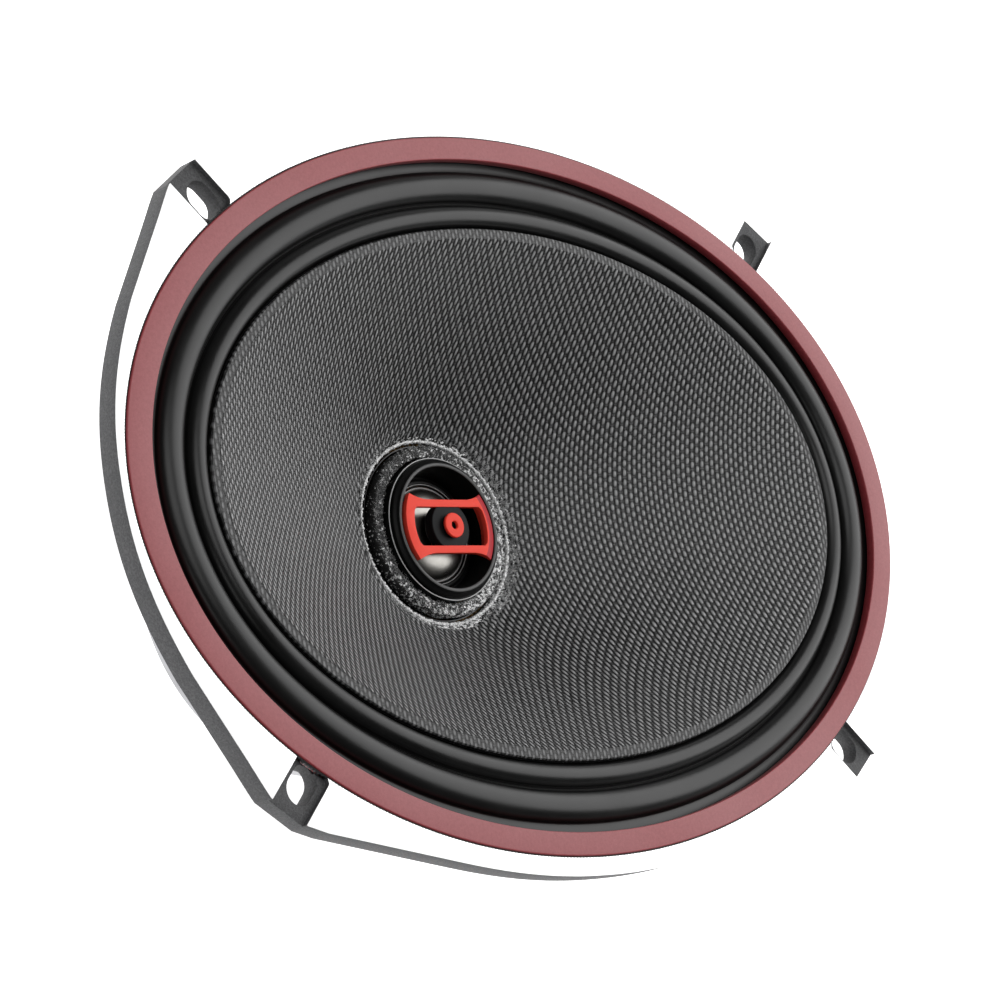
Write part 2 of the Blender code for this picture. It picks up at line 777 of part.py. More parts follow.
def make_tweeter_diaphragm():
    """The dome that the tweeter's coil drives, and the ring that lets it move."""
    edge, low = DOME_EDGE
    thick = 0.4
    outside = arc((0, low + thick), (edge, DOME_RISE - thick), 90, 0, 4)
    inside = arc((0, low), (edge - thick, DOME_RISE - thick), 0, 90, 4)
    profile = [(0.0, outside[0][1])] + outside[1:] + [(edge, low)] + inside[:-1] + [(0.0, inside[-1][1])]
    turned("tweeter_dome", profile, "dome_film", SMALL_STEPS, closed=False)
    ring_in = edge + GAP
    ring_out = YOKE_RADIUS
    top = [(ring_in, low + 0.3), (12.0, low + 0.9), (13.0, low + 0.3), (ring_out, low + 0.3)]
    bottom = [(radius, height - 0.4) for radius, height in reversed(top)]
    turned("tweeter_suspension", top + bottom, "housing_black", SMALL_STEPS)


def make_tweeter_front():
    low = DOME_EDGE[1] + 0.6
    seat = HOUSING_SPAN[1] + GAP
    inside = HOUSING_RADIUS - HOUSING_WALL - GAP
    bezel = [
        (13.5, BEZEL_TOP),
        (14.4, BEZEL_TOP),
        (15.4, seat + 0.6),
        (15.4, seat),
        (inside, seat),
        (inside, low),
        (12.9, low),
    ]
    turned("tweeter_bezel", bezel, "housing_black")
    make_guard()
    make_plug()


def make_plug():
    """The black plug under the bridge and the red ring in its middle."""
    face, flange, foot = PLUG_RADII
    face_high = GUARD_SPAN[1]
    flange_low, flange_high = PLUG_FLANGE
    plug_low = DOME_EDGE[1] + DOME_RISE + 0.8
    plug = [
        (0, face_high),
        (face, face_high),
        (face, flange_high),
        (flange, flange_high),
        (flange, flange_low),
        (foot, plug_low),
        (0, plug_low),
    ]
    turned("phase_plug", plug, "housing_black", SMALL_STEPS, closed=False)
    inner, outer, thick = CAP
    cap_low = face_high + GAP
    turned("phase_plug_cap", ring_profile(inner, outer, cap_low, cap_low + thick), "guard_red", SMALL_STEPS)


def make_guard():
    """The bridge over the dome: two end arcs joined by two bars."""
    half = GUARD_HALF_HEIGHT
    swing = math.degrees(math.asin(half / GUARD_RADIUS))
    low, high = GUARD_SPAN
    bar_low = BAR_CENTRE - BAR_WIDTH / 2
    bar_high = BAR_CENTRE + BAR_WIDTH / 2
    bar_end = GUARD_RADIUS * math.cos(math.radians(swing)) - GUARD_END + 0.6
    flare = [(bar_end, half), (bar_end - 2.2, bar_high + 0.25), (bar_end - 5.0, bar_high)]
    quadrant = arc((0, 0), (GUARD_RADIUS, GUARD_RADIUS), 0, swing, 4) + flare + [(0, bar_high)]
    bridge = extruded_mesh("tweeter_guard", four_quadrants(quadrant), low, high)
    guard = add_part("tweeter_guard", bridge, "guard_red")
    gap = cutter_collection("guard_cutters")
    end = (GUARD_RADIUS - GUARD_END, 0)
    inner = [end, (bar_end - 0.6, bar_low - 0.6), (bar_end - 1.6, bar_low), (0, bar_low)]
    middle = extruded_mesh("guard_middle", four_quadrants(inner), low - 1, high + 1)
    add_guide("guard_middle", middle, gap)
    cut(guard, gap)


# --------------------------------------------------------------- terminals


def upright(obj):
    """Lays a piece that was turned about Z along -Y, at the height of the terminals."""
    obj.rotation_euler = (math.radians(90), 0, 0)
    return obj


def make_blade(name, side, holes):
    """A flat blade with a riveted upper end, bent so that its lower part stands off the board."""
    back = -(board_front() + GAP)
    end, bend_low, bend_high, top = TERMINAL_HEIGHTS
    stand_off = back - TERMINAL_OFFSET
    rear = [(back, top), (back, bend_high), (stand_off, bend_low), (stand_off, end)]
    front = [(y - TERMINAL_THICK, height) for y, height in reversed(rear)]
    half = TERMINAL_WIDTHS[name] / 2
    blade = add_part("terminal_" + name, extruded_mesh(name, rear + front, -half, half), "terminal_tin")
    blade.rotation_euler = (math.radians(90), 0, math.radians(90))
    blade.location = (mm(side * TERMINAL_X), 0, 0)
    cut(blade, holes)


def board_front():
    """How far the front of the terminal board is from the speaker's middle, towards -Y."""
    return -BOARD_CENTRE[1] + BOARD[2] / 2


def make_terminals():
    width, height, thick = BOARD
    x, y, z = BOARD_CENTRE
    low = (x - width / 2, y - thick / 2, z - height / 2)
    high = (x + width / 2, y + thick / 2, z + height / 2)
    board = add_part("terminal_board", box_mesh("terminal_board", low, high), "board_laminate")
    holes = cutter_collection("board_cutters")
    front = board_front()
    head = front + TERMINAL_THICK + 2 * GAP
    shank = RIVET_HOLE - GAP
    tail = front - thick - GAP
    rivet = [(0, head + 0.9), (1.6, head + 0.7), (2.4, head), (shank, head), (shank, tail), (0, tail)]
    for side, name in ((1, "positive"), (-1, "negative")):
        place = (mm(side * TERMINAL_X), 0, mm(RIVET_HEIGHT))
        shaft = cylinder_mesh("rivet_hole", RIVET_HOLE, tail - 3, head + 3, SCREW_STEPS)
        upright(add_guide("rivet_hole_" + name, shaft, holes)).location = place
        make_blade(name, side, holes)
        piece = turned("rivet_" + name, rivet, "brass_rivet", SCREW_STEPS, closed=False)
        upright(piece).location = place
    cut(board, holes)
    can = disc_profile(CAPACITOR_RADIUS, *CAPACITOR_SPAN)
    capacitor = turned("crossover_capacitor", can, "capacitor_film", SMALL_STEPS, closed=False)
    capacitor.location = (0, mm(-(front + GAP + CAPACITOR_RADIUS)), 0)


def make_leads():
    """Braided leads to the cone, and insulated leads through the post to the tweeter."""
    for side, name, colour in ((1, "positive", "lead_red"), (-1, "negative", "lead_black")):
        braid = [(side * x, y, z) for x, y, z in TINSEL_ROUTE]
        lead("tinsel_lead_" + name, braid, LEAD_RADIUS, "tinsel_braid")
        wire = [(side * x, y, z) for x, y, z in TWEETER_LEAD_ROUTE]
        lead("tweeter_lead_" + name, wire, LEAD_RADIUS, colour, 4.0)


for old in list(bpy.data.objects):
    bpy.data.objects.remove(old, do_unlink=True)
parts = bpy.data.collections.new(NAME)
bpy.context.scene.collection.children.link(parts)
cutters = bpy.data.collections.new("cutters")
bpy.context.scene.collection.children.link(cutters)
joined = cutter_collection("joined_shapes")

make_basket()
make_trim_ring()
make_surround()
make_cone()
make_neck()
make_spider()
make_motor()
make_basket_screws()
make_tweeter_post()
make_tweeter_motor()
make_tweeter_diaphragm()
make_tweeter_front()
make_terminals()
make_leads()
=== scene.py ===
"""Looks of an oval coaxial car speaker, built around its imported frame.

The speaker stands on its magnet with the cone facing up, +Z along the voice
coil's axis, X the long way of the oval and -Y the side of the terminals.
Lengths here are in millimetres and become metres where a mesh is made. The
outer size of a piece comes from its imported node's box; constants hold what a
box doesn't tell, such as wall thicknesses and inner radii.
"""

import math
import random

import bmesh
import bpy
import numpy as np
from mathutils import Matrix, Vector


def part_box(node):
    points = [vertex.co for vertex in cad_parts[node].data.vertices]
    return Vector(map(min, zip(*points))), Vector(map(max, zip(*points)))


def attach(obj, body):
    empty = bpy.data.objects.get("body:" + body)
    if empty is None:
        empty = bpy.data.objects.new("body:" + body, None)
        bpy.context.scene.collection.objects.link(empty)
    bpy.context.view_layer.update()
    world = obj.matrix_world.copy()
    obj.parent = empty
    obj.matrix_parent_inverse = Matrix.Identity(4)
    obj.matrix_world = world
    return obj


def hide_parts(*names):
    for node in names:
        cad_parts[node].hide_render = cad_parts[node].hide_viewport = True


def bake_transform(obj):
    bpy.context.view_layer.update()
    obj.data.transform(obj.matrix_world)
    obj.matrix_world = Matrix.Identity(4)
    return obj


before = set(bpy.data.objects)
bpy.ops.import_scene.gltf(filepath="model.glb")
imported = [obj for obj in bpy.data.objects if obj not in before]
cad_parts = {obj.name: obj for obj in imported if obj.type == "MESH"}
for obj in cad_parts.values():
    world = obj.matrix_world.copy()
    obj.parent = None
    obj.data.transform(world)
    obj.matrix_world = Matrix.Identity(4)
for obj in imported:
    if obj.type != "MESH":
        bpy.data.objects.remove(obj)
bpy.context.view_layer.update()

MM = 0.001
GAP = 0.3  # clearance between neighbouring pieces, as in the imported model

CAMERA_PLACE = (-0.5018, -0.1288, 0.5505)
CAMERA_AXES = ((0.7036, -0.1763, 0.6884), (-0.0075, 0.9668, 0.2553), (-0.7106, -0.1848, 0.6789))
CAMERA_LENS = 119.8
SENSOR_WIDTH = 36.0


def node_box(node):
    """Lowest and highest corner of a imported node, in millimetres."""
    low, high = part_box(node)
    return [value / MM for value in low], [value / MM for value in high]


def half_axes(node):
    """Outer half axes of an oval or round node, along X and Y."""
    low, high = node_box(node)
    return (high[0] - low[0]) / 2, (high[1] - low[1]) / 2


def radius_of(node):
    return half_axes(node)[0]


def heights(node):
    low, high = node_box(node)
    return low[2], high[2]


def inset(half, distance):
    return half[0] - distance, half[1] - distance


# ------------------------------------------------------------------ meshes


def add_object(name, mesh, *materials):
    obj = bpy.data.objects.new(name, mesh)
    bpy.context.scene.collection.objects.link(obj)
    for material in materials:
        mesh.materials.append(material)
    return obj


def mesh_from(name, points, faces):
    """A mesh from points in millimetres and an array of faces that all have as many corners."""
    points = np.asarray(points, float).reshape(-1, 3) * MM
    faces = np.asarray(faces, np.int32)
    corners = faces.shape[1]
    mesh = bpy.data.meshes.new(name)
    mesh.vertices.add(len(points))
    mesh.vertices.foreach_set("co", points.astype(np.float32).ravel())
    mesh.loops.add(faces.size)
    mesh.loops.foreach_set("vertex_index", faces.ravel())
    mesh.polygons.add(len(faces))
    mesh.polygons.foreach_set("loop_start", np.arange(0, faces.size, corners, dtype=np.int32))
    mesh.update(calc_edges=True)
    mesh.validate()
    return mesh


def smooth(mesh, angle=35):
    mesh.shade_smooth()
    mesh.set_sharp_from_angle(angle=math.radians(angle))
    return mesh


def grid_faces(rows, columns, wrap_rows=False, wrap_columns=False):
    """Quads of a grid of points stored row by row."""
    row = np.arange(rows if wrap_rows else rows - 1)
    column = np.arange(columns if wrap_columns else columns - 1)
    row, column = np.meshgrid(row, column, indexing="ij")
    after_row, after_column = (row + 1) % rows, (column + 1) % columns
    corners = (row * columns + column, after_row * columns + column,
               after_row * columns + after_column, row * columns + after_column)
    return np.stack([corner.ravel() for corner in corners], axis=1)


def oval_mesh(name, loops, steps, closed=True):
    """A skin through concentric ovals, each (half x, half y, height), from outside top inwards below."""
    loops = np.asarray(loops, float)
    angle = np.linspace(0, 2 * math.pi, steps, endpoint=False)
    x = loops[:, 0, None] * np.cos(angle)
    y = loops[:, 1, None] * np.sin(angle)
    z = np.repeat(loops[:, 2, None], steps, axis=1)
    points = np.stack([x, y, z], axis=2)
    return mesh_from(name, points, grid_faces(len(loops), steps, wrap_rows=closed, wrap_columns=True))


def turned_mesh(name, profile, steps=192, closed=True):
    """A turned shape from a half section that runs down its outer side."""
    return oval_mesh(name, [(radius, radius, height) for radius, height in profile], steps, closed)


def rounded(profile, radius, steps=4, closed=True, skip=()):
    """A section with its corners rounded, apart from the corners whose index is in skip."""
    points = [np.array(point, float) for point in profile]
    count = len(points)
    made = []
    for index, point in enumerate(points):
        at_end = not closed and index in (0, count - 1)
        if at_end or index in skip:
            made.append(tuple(point))
            continue
        before = points[index - 1] - point
        after = points[(index + 1) % count] - point
        reach = min(radius, np.linalg.norm(before) * 0.45, np.linalg.norm(after) * 0.45)
        start = point + before / np.linalg.norm(before) * reach
        end = point + after / np.linalg.norm(after) * reach
        for step in range(steps + 1):
            t = step / steps
            made.append(tuple((1 - t) ** 2 * start + 2 * t * (1 - t) * point + t * t * end))
    return made


def arc(centre, radii, start, end, steps):
    """Points of an elliptic arc from start to end, in degrees, ends included."""
    angles = np.radians(np.linspace(start, end, steps + 1))
    return [(centre[0] + radii[0] * math.cos(a), centre[1] + radii[1] * math.sin(a)) for a in angles]


def ring_section(inner, outer, low, high):
    return [(inner, high), (outer, high), (outer, low), (inner, low)]


def extruded_mesh(name, outline, low, high):
    """A flat outline given its thickness, as a closed mesh."""
    work = bmesh.new()
    bottom = [work.verts.new((x * MM, y * MM, low * MM)) for x, y in outline]
    top = [work.verts.new((x * MM, y * MM, high * MM)) for x, y in outline]
    work.faces.new(bottom[::-1])
    work.faces.new(top)
    for index in range(len(outline)):
        after = (index + 1) % len(outline)
        work.faces.new((bottom[index], bottom[after], top[after], top[index]))
    bmesh.ops.recalc_face_normals(work, faces=work.faces)
    mesh = bpy.data.meshes.new(name)
    work.to_mesh(mesh)
    work.free()
    return mesh


def tube_mesh(name, route, radius, sides=12, ends=True):
    """A tube along a route of points, whose radius may differ from point to point."""
    route = np.asarray(route, float)
    radius = np.broadcast_to(np.asarray(radius, float), (len(route),))
    forward = np.gradient(route, axis=0)
    forward /= np.linalg.norm(forward, axis=1)[:, None]
    side = np.cross(forward[0], (0.3, 0.2, 1.0))
    points = []
    for place, ahead, size in zip(route, forward, radius):
        side = side - ahead * (side @ ahead)
        side /= np.linalg.norm(side)
        other = np.cross(ahead, side)
        angle = np.linspace(0, 2 * math.pi, sides, endpoint=False)[:, None]
        points.append(place + size * (np.cos(angle) * side + np.sin(angle) * other))
    points = np.concatenate(points)
    faces = grid_faces(len(route), sides, wrap_columns=True)
    mesh = mesh_from(name, points, faces)
    if ends:
        work = bmesh.new()
        work.from_mesh(mesh)
        bmesh.ops.holes_fill(work, edges=[edge for edge in work.edges if edge.is_boundary])
        bmesh.ops.recalc_face_normals(work, faces=work.faces)
        work.to_mesh(mesh)
        work.free()
    return mesh


def smooth_route(points, spacing):
    """Points about a spacing apart on the smooth curve through a lead's own points."""
    ends = [points[0], *points, points[-1]]
    route = []
    for before, start, end, after in zip(ends, ends[1:], ends[2:], ends[3:]):
        before, start, end, after = (np.array(point, float) for point in (before, start, end, after))
        steps = max(1, round(float(np.linalg.norm(end - start)) / spacing))
        for step in range(steps):
            t = step / steps
            square = 2 * before - 5 * start + 4 * end - after
            cube = 3 * start - before - 3 * end + after
            route.append(0.5 * (2 * start + (end - before) * t + square * t * t + cube * t ** 3))
    route.append(np.array(points[-1], float))
    return np.array(route)


def boolean(obj, operation, *shapes):
    """Applies a Boolean with each shape in turn, and removes the shapes."""
    for shape in shapes:
        modifier = obj.modifiers.new("boolean", "BOOLEAN")
        modifier.operation = operation
        modifier.object = shape
        modifier.solver = "EXACT"
    apply_modifiers(obj)
    for shape in shapes:
        bpy.data.objects.remove(shape)


def apply_modifiers(obj):
    graph = bpy.context.evaluated_depsgraph_get()
    mesh = bpy.data.meshes.new_from_object(obj.evaluated_get(graph))
    obj.modifiers.clear()
    obj.data = mesh


def place(obj, body, slot, *nodes):
    """Ties a piece to its CAD body, and hides the nodes it stands for. The slot is not used."""
    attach(obj, body)
    if nodes:
        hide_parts(*nodes)
    return obj


def turned(name, profile, material, body, slot, nodes=(), steps=192, closed=True, angle=35):
    mesh = smooth(turned_mesh(name, profile, steps, closed), angle)
    return place(add_object(name, mesh, material), body, slot, *nodes)


# --------------------------------------------------------------- materials


class Shade:
    """One procedural material. Patterns are in object coordinates, in millimetres."""

    def __init__(self, name, colour, roughness, metallic=0.0, **settings):
        self.material = bpy.data.materials.new(name)
        self.material.use_nodes = True
        self.tree = self.material.node_tree
        self.shader = self.tree.nodes["Principled BSDF"]
        self.put(self.shader, "Base Color", (*colour, 1.0))
        self.put(self.shader, "Roughness", roughness)
        self.put(self.shader, "Metallic", metallic)
        for key, value in settings.items():
            self.put(self.shader, key.replace("_", " ").title().replace("Ior", "IOR"), value)
        self.material.diffuse_color = (*colour, 1.0)
        coordinates = self.tree.nodes.new("ShaderNodeTexCoord")
        self.place = self.node("ShaderNodeVectorMath", {0: coordinates.outputs["Object"], 3: 1 / MM}, operation="SCALE")

    def put(self, node, key, value):
        """Sets a socket, or links it if the value is another node's output."""
        if isinstance(value, bpy.types.NodeSocket):
            self.tree.links.new(value, node.inputs[key])
        else:
            node.inputs[key].default_value = value

    def node(self, kind, inputs, output=0, **settings):
        made = self.tree.nodes.new(kind)
        for key, value in settings.items():
            setattr(made, key, value)
        for key, value in inputs.items():
            self.put(made, key, value)
        return made.outputs[output]

    def math(self, operation, first, second=0.0, third=0.0):
        return self.node("ShaderNodeMath", {0: first, 1: second, 2: third}, operation=operation)

    def stretched(self, scale):
        """The place in millimetres, scaled per axis."""
        return self.node("ShaderNodeVectorMath", {0: self.place, 1: scale}, operation="MULTIPLY")

    def noise(self, scale, detail=3.0, roughness=0.6, vector=None, output="Fac"):
        inputs = {"Vector": vector or self.place, "Scale": scale, "Detail": detail, "Roughness": roughness}
        return self.node("ShaderNodeTexNoise", inputs, output)

    def cells(self, scale, vector=None, feature="F1", output="Distance"):
        inputs = {"Vector": vector or self.place, "Scale": scale}
        return self.node("ShaderNodeTexVoronoi", inputs, output, feature=feature)

    def spread(self, value, low, high, to_low=0.0, to_high=1.0):
        inputs = {"Value": value, "From Min": low, "From Max": high, "To Min": to_low, "To Max": to_high}
        return self.node("ShaderNodeMapRange", inputs)

    def blend(self, share, first, second):
        made = self.tree.nodes.new("ShaderNodeMix")
        made.data_type = "RGBA"
        for index, value in ((0, share), (6, first), (7, second)):
            if isinstance(value, tuple):
                value = (*value, 1.0)
            self.put(made, index, value)
        return made.outputs[2]

    def colour(self, value):
        self.put(self.shader, "Base Color", value)

    def rough(self, value):
        self.put(self.shader, "Roughness", value)

    def bump(self, height, depth, strength=1.0, after=None):
        """A bump of the given depth in millimetres."""
        inputs = {"Height": height, "Distance": depth * MM, "Strength": strength}
        if after is not None:
            inputs["Normal"] = after
        made = self.node("ShaderNodeBump", inputs)
        self.put(self.shader, "Normal", made)
        return made

    def axis(self, index):
        return self.node("ShaderNodeSeparateXYZ", {0: self.place}, index)

    def radius(self):
        flat = self.stretched((1.0, 1.0, 0.0))
        return self.node("ShaderNodeVectorMath", {0: flat}, 1, operation="LENGTH")


def grained(name, colour, dark, roughness, grain=2.0, depth=0.03, metallic=0.0, patch=0.03, **settings):
    """A moulded, cast or painted surface: fine grain, and slow changes of colour and gloss."""
    shade = Shade(name, colour, roughness, metallic, **settings)
    fine = shade.noise(grain, 4.0, 0.7)
    slow = shade.noise(patch, 3.0)
    share = shade.math("MULTIPLY_ADD", fine, 0.7, shade.math("MULTIPLY", slow, 0.3))
    shade.colour(shade.blend(shade.spread(share, 0.3, 0.7), dark, colour))
    shade.rough(shade.spread(slow, 0.3, 0.7, roughness - 0.05, roughness + 0.08))
    shade.bump(fine, depth)
    return shade.material


def powder_coat():
    """Granular grey-black powder coat on the casting."""
    shade = Shade("powder_coat", (0.07, 0.07, 0.072), 0.6, specular_ior_level=0.4)
    grit = shade.cells(2.6, feature="SMOOTH_F1")
    fine = shade.noise(5.0, 4.0, 0.75)
    share = shade.math("ADD", shade.math("MULTIPLY", grit, 0.5), shade.math("MULTIPLY", fine, 0.8))
    shade.colour(shade.blend(shade.spread(share, 0.35, 0.95), (0.03, 0.03, 0.032), (0.12, 0.12, 0.124)))
    shade.rough(shade.spread(fine, 0.3, 0.7, 0.5, 0.72))
    shade.bump(share, 0.12)
    return shade.material


def machined_face():
    """Diamond-turned bright face, with very fine concentric tool marks."""
    shade = Shade("machined_face", (0.95, 0.95, 0.95), 0.4, 0.85)
    marks = shade.math("SINE", shade.math("MULTIPLY", shade.radius(), 14.0))
    cloud = shade.noise(0.05, 3.0)
    shade.colour(shade.blend(shade.spread(cloud, 0.3, 0.7), (0.9, 0.9, 0.905), (0.97, 0.97, 0.97)))
    shade.rough(shade.spread(cloud, 0.3, 0.7, 0.34, 0.44))
    shade.bump(marks, 0.002)
    return shade.material


def anodised_ring():
    shade = Shade("anodised_ring", (0.3, 0.035, 0.043), 0.42, 0.0, coat_weight=0.2, coat_roughness=0.45)
    fine = shade.noise(1.6, 5.0, 0.75)
    slow = shade.noise(0.02, 2.0)
    shade.colour(shade.blend(shade.spread(fine, 0.25, 0.75), (0.25, 0.02, 0.028), (0.35, 0.05, 0.058)))
    shade.rough(shade.spread(slow, 0.3, 0.7, 0.4, 0.5))
    shade.bump(fine, 0.012)
    return shade.material


def rubber():
    shade = Shade("rubber", (0.004, 0.004, 0.004), 0.34, specular_ior_level=0.36)
    fine = shade.noise(3.0, 4.0, 0.7)
    bloom = shade.noise(0.06, 4.0)
    shade.colour(shade.blend(shade.spread(bloom, 0.35, 0.75), (0.003, 0.003, 0.003), (0.006, 0.006, 0.006)))
    shade.rough(shade.spread(bloom, 0.3, 0.7, 0.29, 0.38))
    shade.bump(fine, 0.008)
    return shade.material


def woven(name, pitch, dark, light, roughness, depth, metallic=0.0, **settings):
    """Long crowned floats along Y, in every other cell of a grid, over short floats along X in gaps. The colour has a
    painted highlight on the crowns and painted shade in the gaps and on the lower weft floats.
    """
    shade = Shade(name, light, roughness, metallic, **settings)
    x, y = (shade.math("DIVIDE", shade.axis(index), pitch) for index in (0, 1))
    crowns = []
    for across, along, shift, width, length in ((x, y, 0.0, 0.46, 0.95), (y, x, 1.0, 0.42, 0.7)):
        line = shade.math("FLOOR", across)
        side = shade.math("SUBTRACT", shade.math("SUBTRACT", across, line), 0.5)
        start = shade.math("SUBTRACT", shade.math("SUBTRACT", along, line), shift)
        half = shade.math("MULTIPLY", start, 0.5)
        reach = shade.math("SUBTRACT", shade.math("SUBTRACT", half, shade.math("FLOOR", half)), 0.25)
        reach = shade.math("PINGPONG", shade.math("ADD", reach, 0.5), 0.5)
        reach = shade.math("SUBTRACT", 0.5, reach)
        side = shade.math("POWER", shade.math("ABSOLUTE", shade.math("DIVIDE", side, width)), 2.2)
        reach = shade.math("POWER", shade.math("DIVIDE", shade.math("MULTIPLY", reach, 2.0), length), 2.2)
        crowns.append(shade.math("SUBTRACT", 1.0, shade.math("ADD", side, reach)))
    warp = shade.node("ShaderNodeClamp", {0: crowns[0]})
    weft = shade.math("MULTIPLY", shade.node("ShaderNodeClamp", {0: crowns[1]}), 0.45)
    height = shade.math("MAXIMUM", warp, weft)
    strand = shade.noise(1.0, 2.0, 0.6, vector=shade.stretched((9.0, 0.9, 0.9)))
    dye = shade.noise(0.9, 2.0)
    # The yarns' height lightens the crowns and darkens the gaps and weft floats: painted highlight and painted shade.
    # Strand and dye are the cloth's own colour changes.
    fibre_tone_and_painted_light = shade.math("MULTIPLY_ADD", strand, 0.35, shade.math("MULTIPLY", height, 0.75))
    fibre_tone_and_painted_light = shade.math("MULTIPLY_ADD", dye, 0.3, fibre_tone_and_painted_light)
    shade.colour(shade.blend(shade.spread(fibre_tone_and_painted_light, 0.56, 1.04), dark, light))
    shade.rough(shade.spread(strand, 0.2, 0.8, roughness - 0.08, roughness + 0.12))
    shade.bump(shade.math("MULTIPLY_ADD", strand, 0.3, height), depth)
    return shade


def speckle(name, dark, light, scale, cut, tilt=0.0):
    """A dark ground with pale flecks; a tilt gives the side towards +X and -Y more of them."""
    shade = Shade(name, dark, 0.55)
    fine = shade.noise(scale, 2.0, 0.8)
    slow = shade.noise(0.35, 2.0)
    slant = shade.math("SUBTRACT", shade.axis(0), shade.math("MULTIPLY", shade.axis(1), 0.6))
    value = shade.math("MULTIPLY_ADD", slant, tilt, fine)
    value = shade.math("MULTIPLY_ADD", slow, 0.12, value)
    shade.colour(shade.blend(shade.spread(value, cut, cut + 0.05), dark, light))
    shade.bump(fine, 0.4)
    return shade.material


def glue():
    shade = Shade("glue", (0.8, 0.8, 0.8), 0.3, specular_ior_level=0.7, coat_weight=0.4, coat_roughness=0.1)
    lumps_and_glints = shade.noise(1.9, 3.0, 0.7)
    # Grey glue with pure white patches: the grey is the glue's colour, and the white patches are painted glints.
    shade.colour(shade.blend(shade.spread(lumps_and_glints, 0.4, 0.56), (0.4, 0.4, 0.4), (1.0, 1.0, 1.0)))
    shade.bump(lumps_and_glints, 0.1)
    return shade.material


def strands(name, dark, light, roughness=0.4):
    """Short loose fibres, each a little lighter or darker along its length."""
    shade = Shade(name, light, roughness)
    shade.colour(shade.blend(shade.spread(shade.noise(0.9, 3.0), 0.35, 0.65), dark, light))
    shade.bump(shade.noise(9.0, 2.0), 0.02)
    return shade.material


def turned_metal(name, colour, roughness, marks=6.0, **settings):
    """Metal with concentric tool marks and faint stains."""
    shade = Shade(name, colour, roughness, 1.0, **settings)
    line = shade.math("SINE", shade.math("MULTIPLY", shade.radius(), marks * 6.0))
    along = shade.math("SINE", shade.math("MULTIPLY", shade.axis(2), marks * 6.0))
    stain = shade.noise(0.08, 5.0)
    dark = tuple(value * 0.72 for value in colour)
    shade.colour(shade.blend(shade.spread(stain, 0.35, 0.7), dark, colour))
    shade.rough(shade.spread(stain, 0.3, 0.7, roughness - 0.06, roughness + 0.12))
    shade.bump(shade.math("ADD", line, along), 0.004)
    return shade.material


def wound(name, colour, pitch, roughness=0.3, axis=2):
    """Fine turns of wire, or ridges, one above the other."""
    shade = Shade(name, colour, roughness, 0.9)
    turn = shade.math("SINE", shade.math("MULTIPLY", shade.axis(axis), 2 * math.pi / pitch))
    # Darker between the turns: painted shade in the grooves.
    dark = tuple(value * 0.4 for value in colour)
    shade.colour(shade.blend(shade.spread(turn, -1.0, 0.2), dark, colour))
    shade.rough(shade.spread(shade.noise(0.5), 0.3, 0.7, roughness - 0.05, roughness + 0.1))
    shade.bump(turn, pitch * 0.3)
    return shade.material


def coil_former(name, colour, dark_above):
    """Amber film, soaked in black glue above a height."""
    shade = Shade(name, colour, 0.4, coat_weight=0.3, coat_roughness=0.2)
    cloud = shade.noise(0.15, 3.0)
    film = shade.blend(shade.spread(cloud, 0.3, 0.7), tuple(value * 0.6 for value in colour), colour)
    edge = shade.math("MULTIPLY_ADD", cloud, 1.2, shade.axis(2))
    shade.colour(shade.blend(shade.spread(edge, dark_above, dark_above + 0.6), film, (0.006, 0.006, 0.006)))
    shade.bump(shade.noise(1.2, 2.0), 0.02)
    return shade.material


COAT = powder_coat()
BRIGHT = machined_face()
RING_RED = anodised_ring()
RUBBER = rubber()
# Woven colours: the first is painted shade for the gaps, the second the yarns' colour with painted highlight on the
# crowns.
GLASS_WEAVE = woven("glass_weave", 1.05, (0.0015, 0.0015, 0.0015), (0.4, 0.4, 0.404), 0.36, 0.22,
                    specular_ior_level=0.5)
RIM_WEAVE = woven("rim_weave", 1.05, (0.008, 0.008, 0.008), (0.16, 0.16, 0.163), 0.5, 0.12)
SPIDER_CLOTH = woven("spider_cloth", 0.9, (0.16, 0.08, 0.02), (0.6, 0.4, 0.15), 0.75, 0.1)
FELT = speckle("felt", (0.008, 0.008, 0.008), (0.95, 0.95, 0.95), 1.3, 0.6, 0.0035)
FRAY = speckle("fray", (0.006, 0.006, 0.006), (1.0, 1.0, 1.0), 1.2, 0.58, 0.002)
GLUE = glue()
PALE_FIBRE = strands("pale_fibre", (0.1, 0.1, 0.1), (0.72, 0.72, 0.72))
FILM = coil_former("former_film", (0.45, 0.22, 0.06), 42.5)
COPPER = wound("copper_wire", (0.75, 0.32, 0.14), 0.28)
PLATED = turned_metal("plated_steel", (0.62, 0.62, 0.64), 0.3)
BLACK_STEEL = grained("black_steel", (0.05, 0.05, 0.052), (0.02, 0.02, 0.02), 0.42, 3.0, 0.01, metallic=0.5)
FERRITE = grained("ferrite", (0.085, 0.085, 0.09), (0.045, 0.045, 0.05), 0.62, 1.4, 0.05)
HOUSING = grained("housing_black", (0.006, 0.006, 0.006), (0.003, 0.003, 0.003), 0.42, 2.0, 0.004,
                  specular_ior_level=0.12)
PLUG = grained("plug_black", (0.009, 0.01, 0.011), (0.006, 0.0065, 0.007), 0.5, 2.0, 0.004,
               specular_ior_level=0.12)
LIP = grained("lip_black", (0.09, 0.09, 0.09), (0.07, 0.07, 0.07), 0.5, 2.0, 0.006)
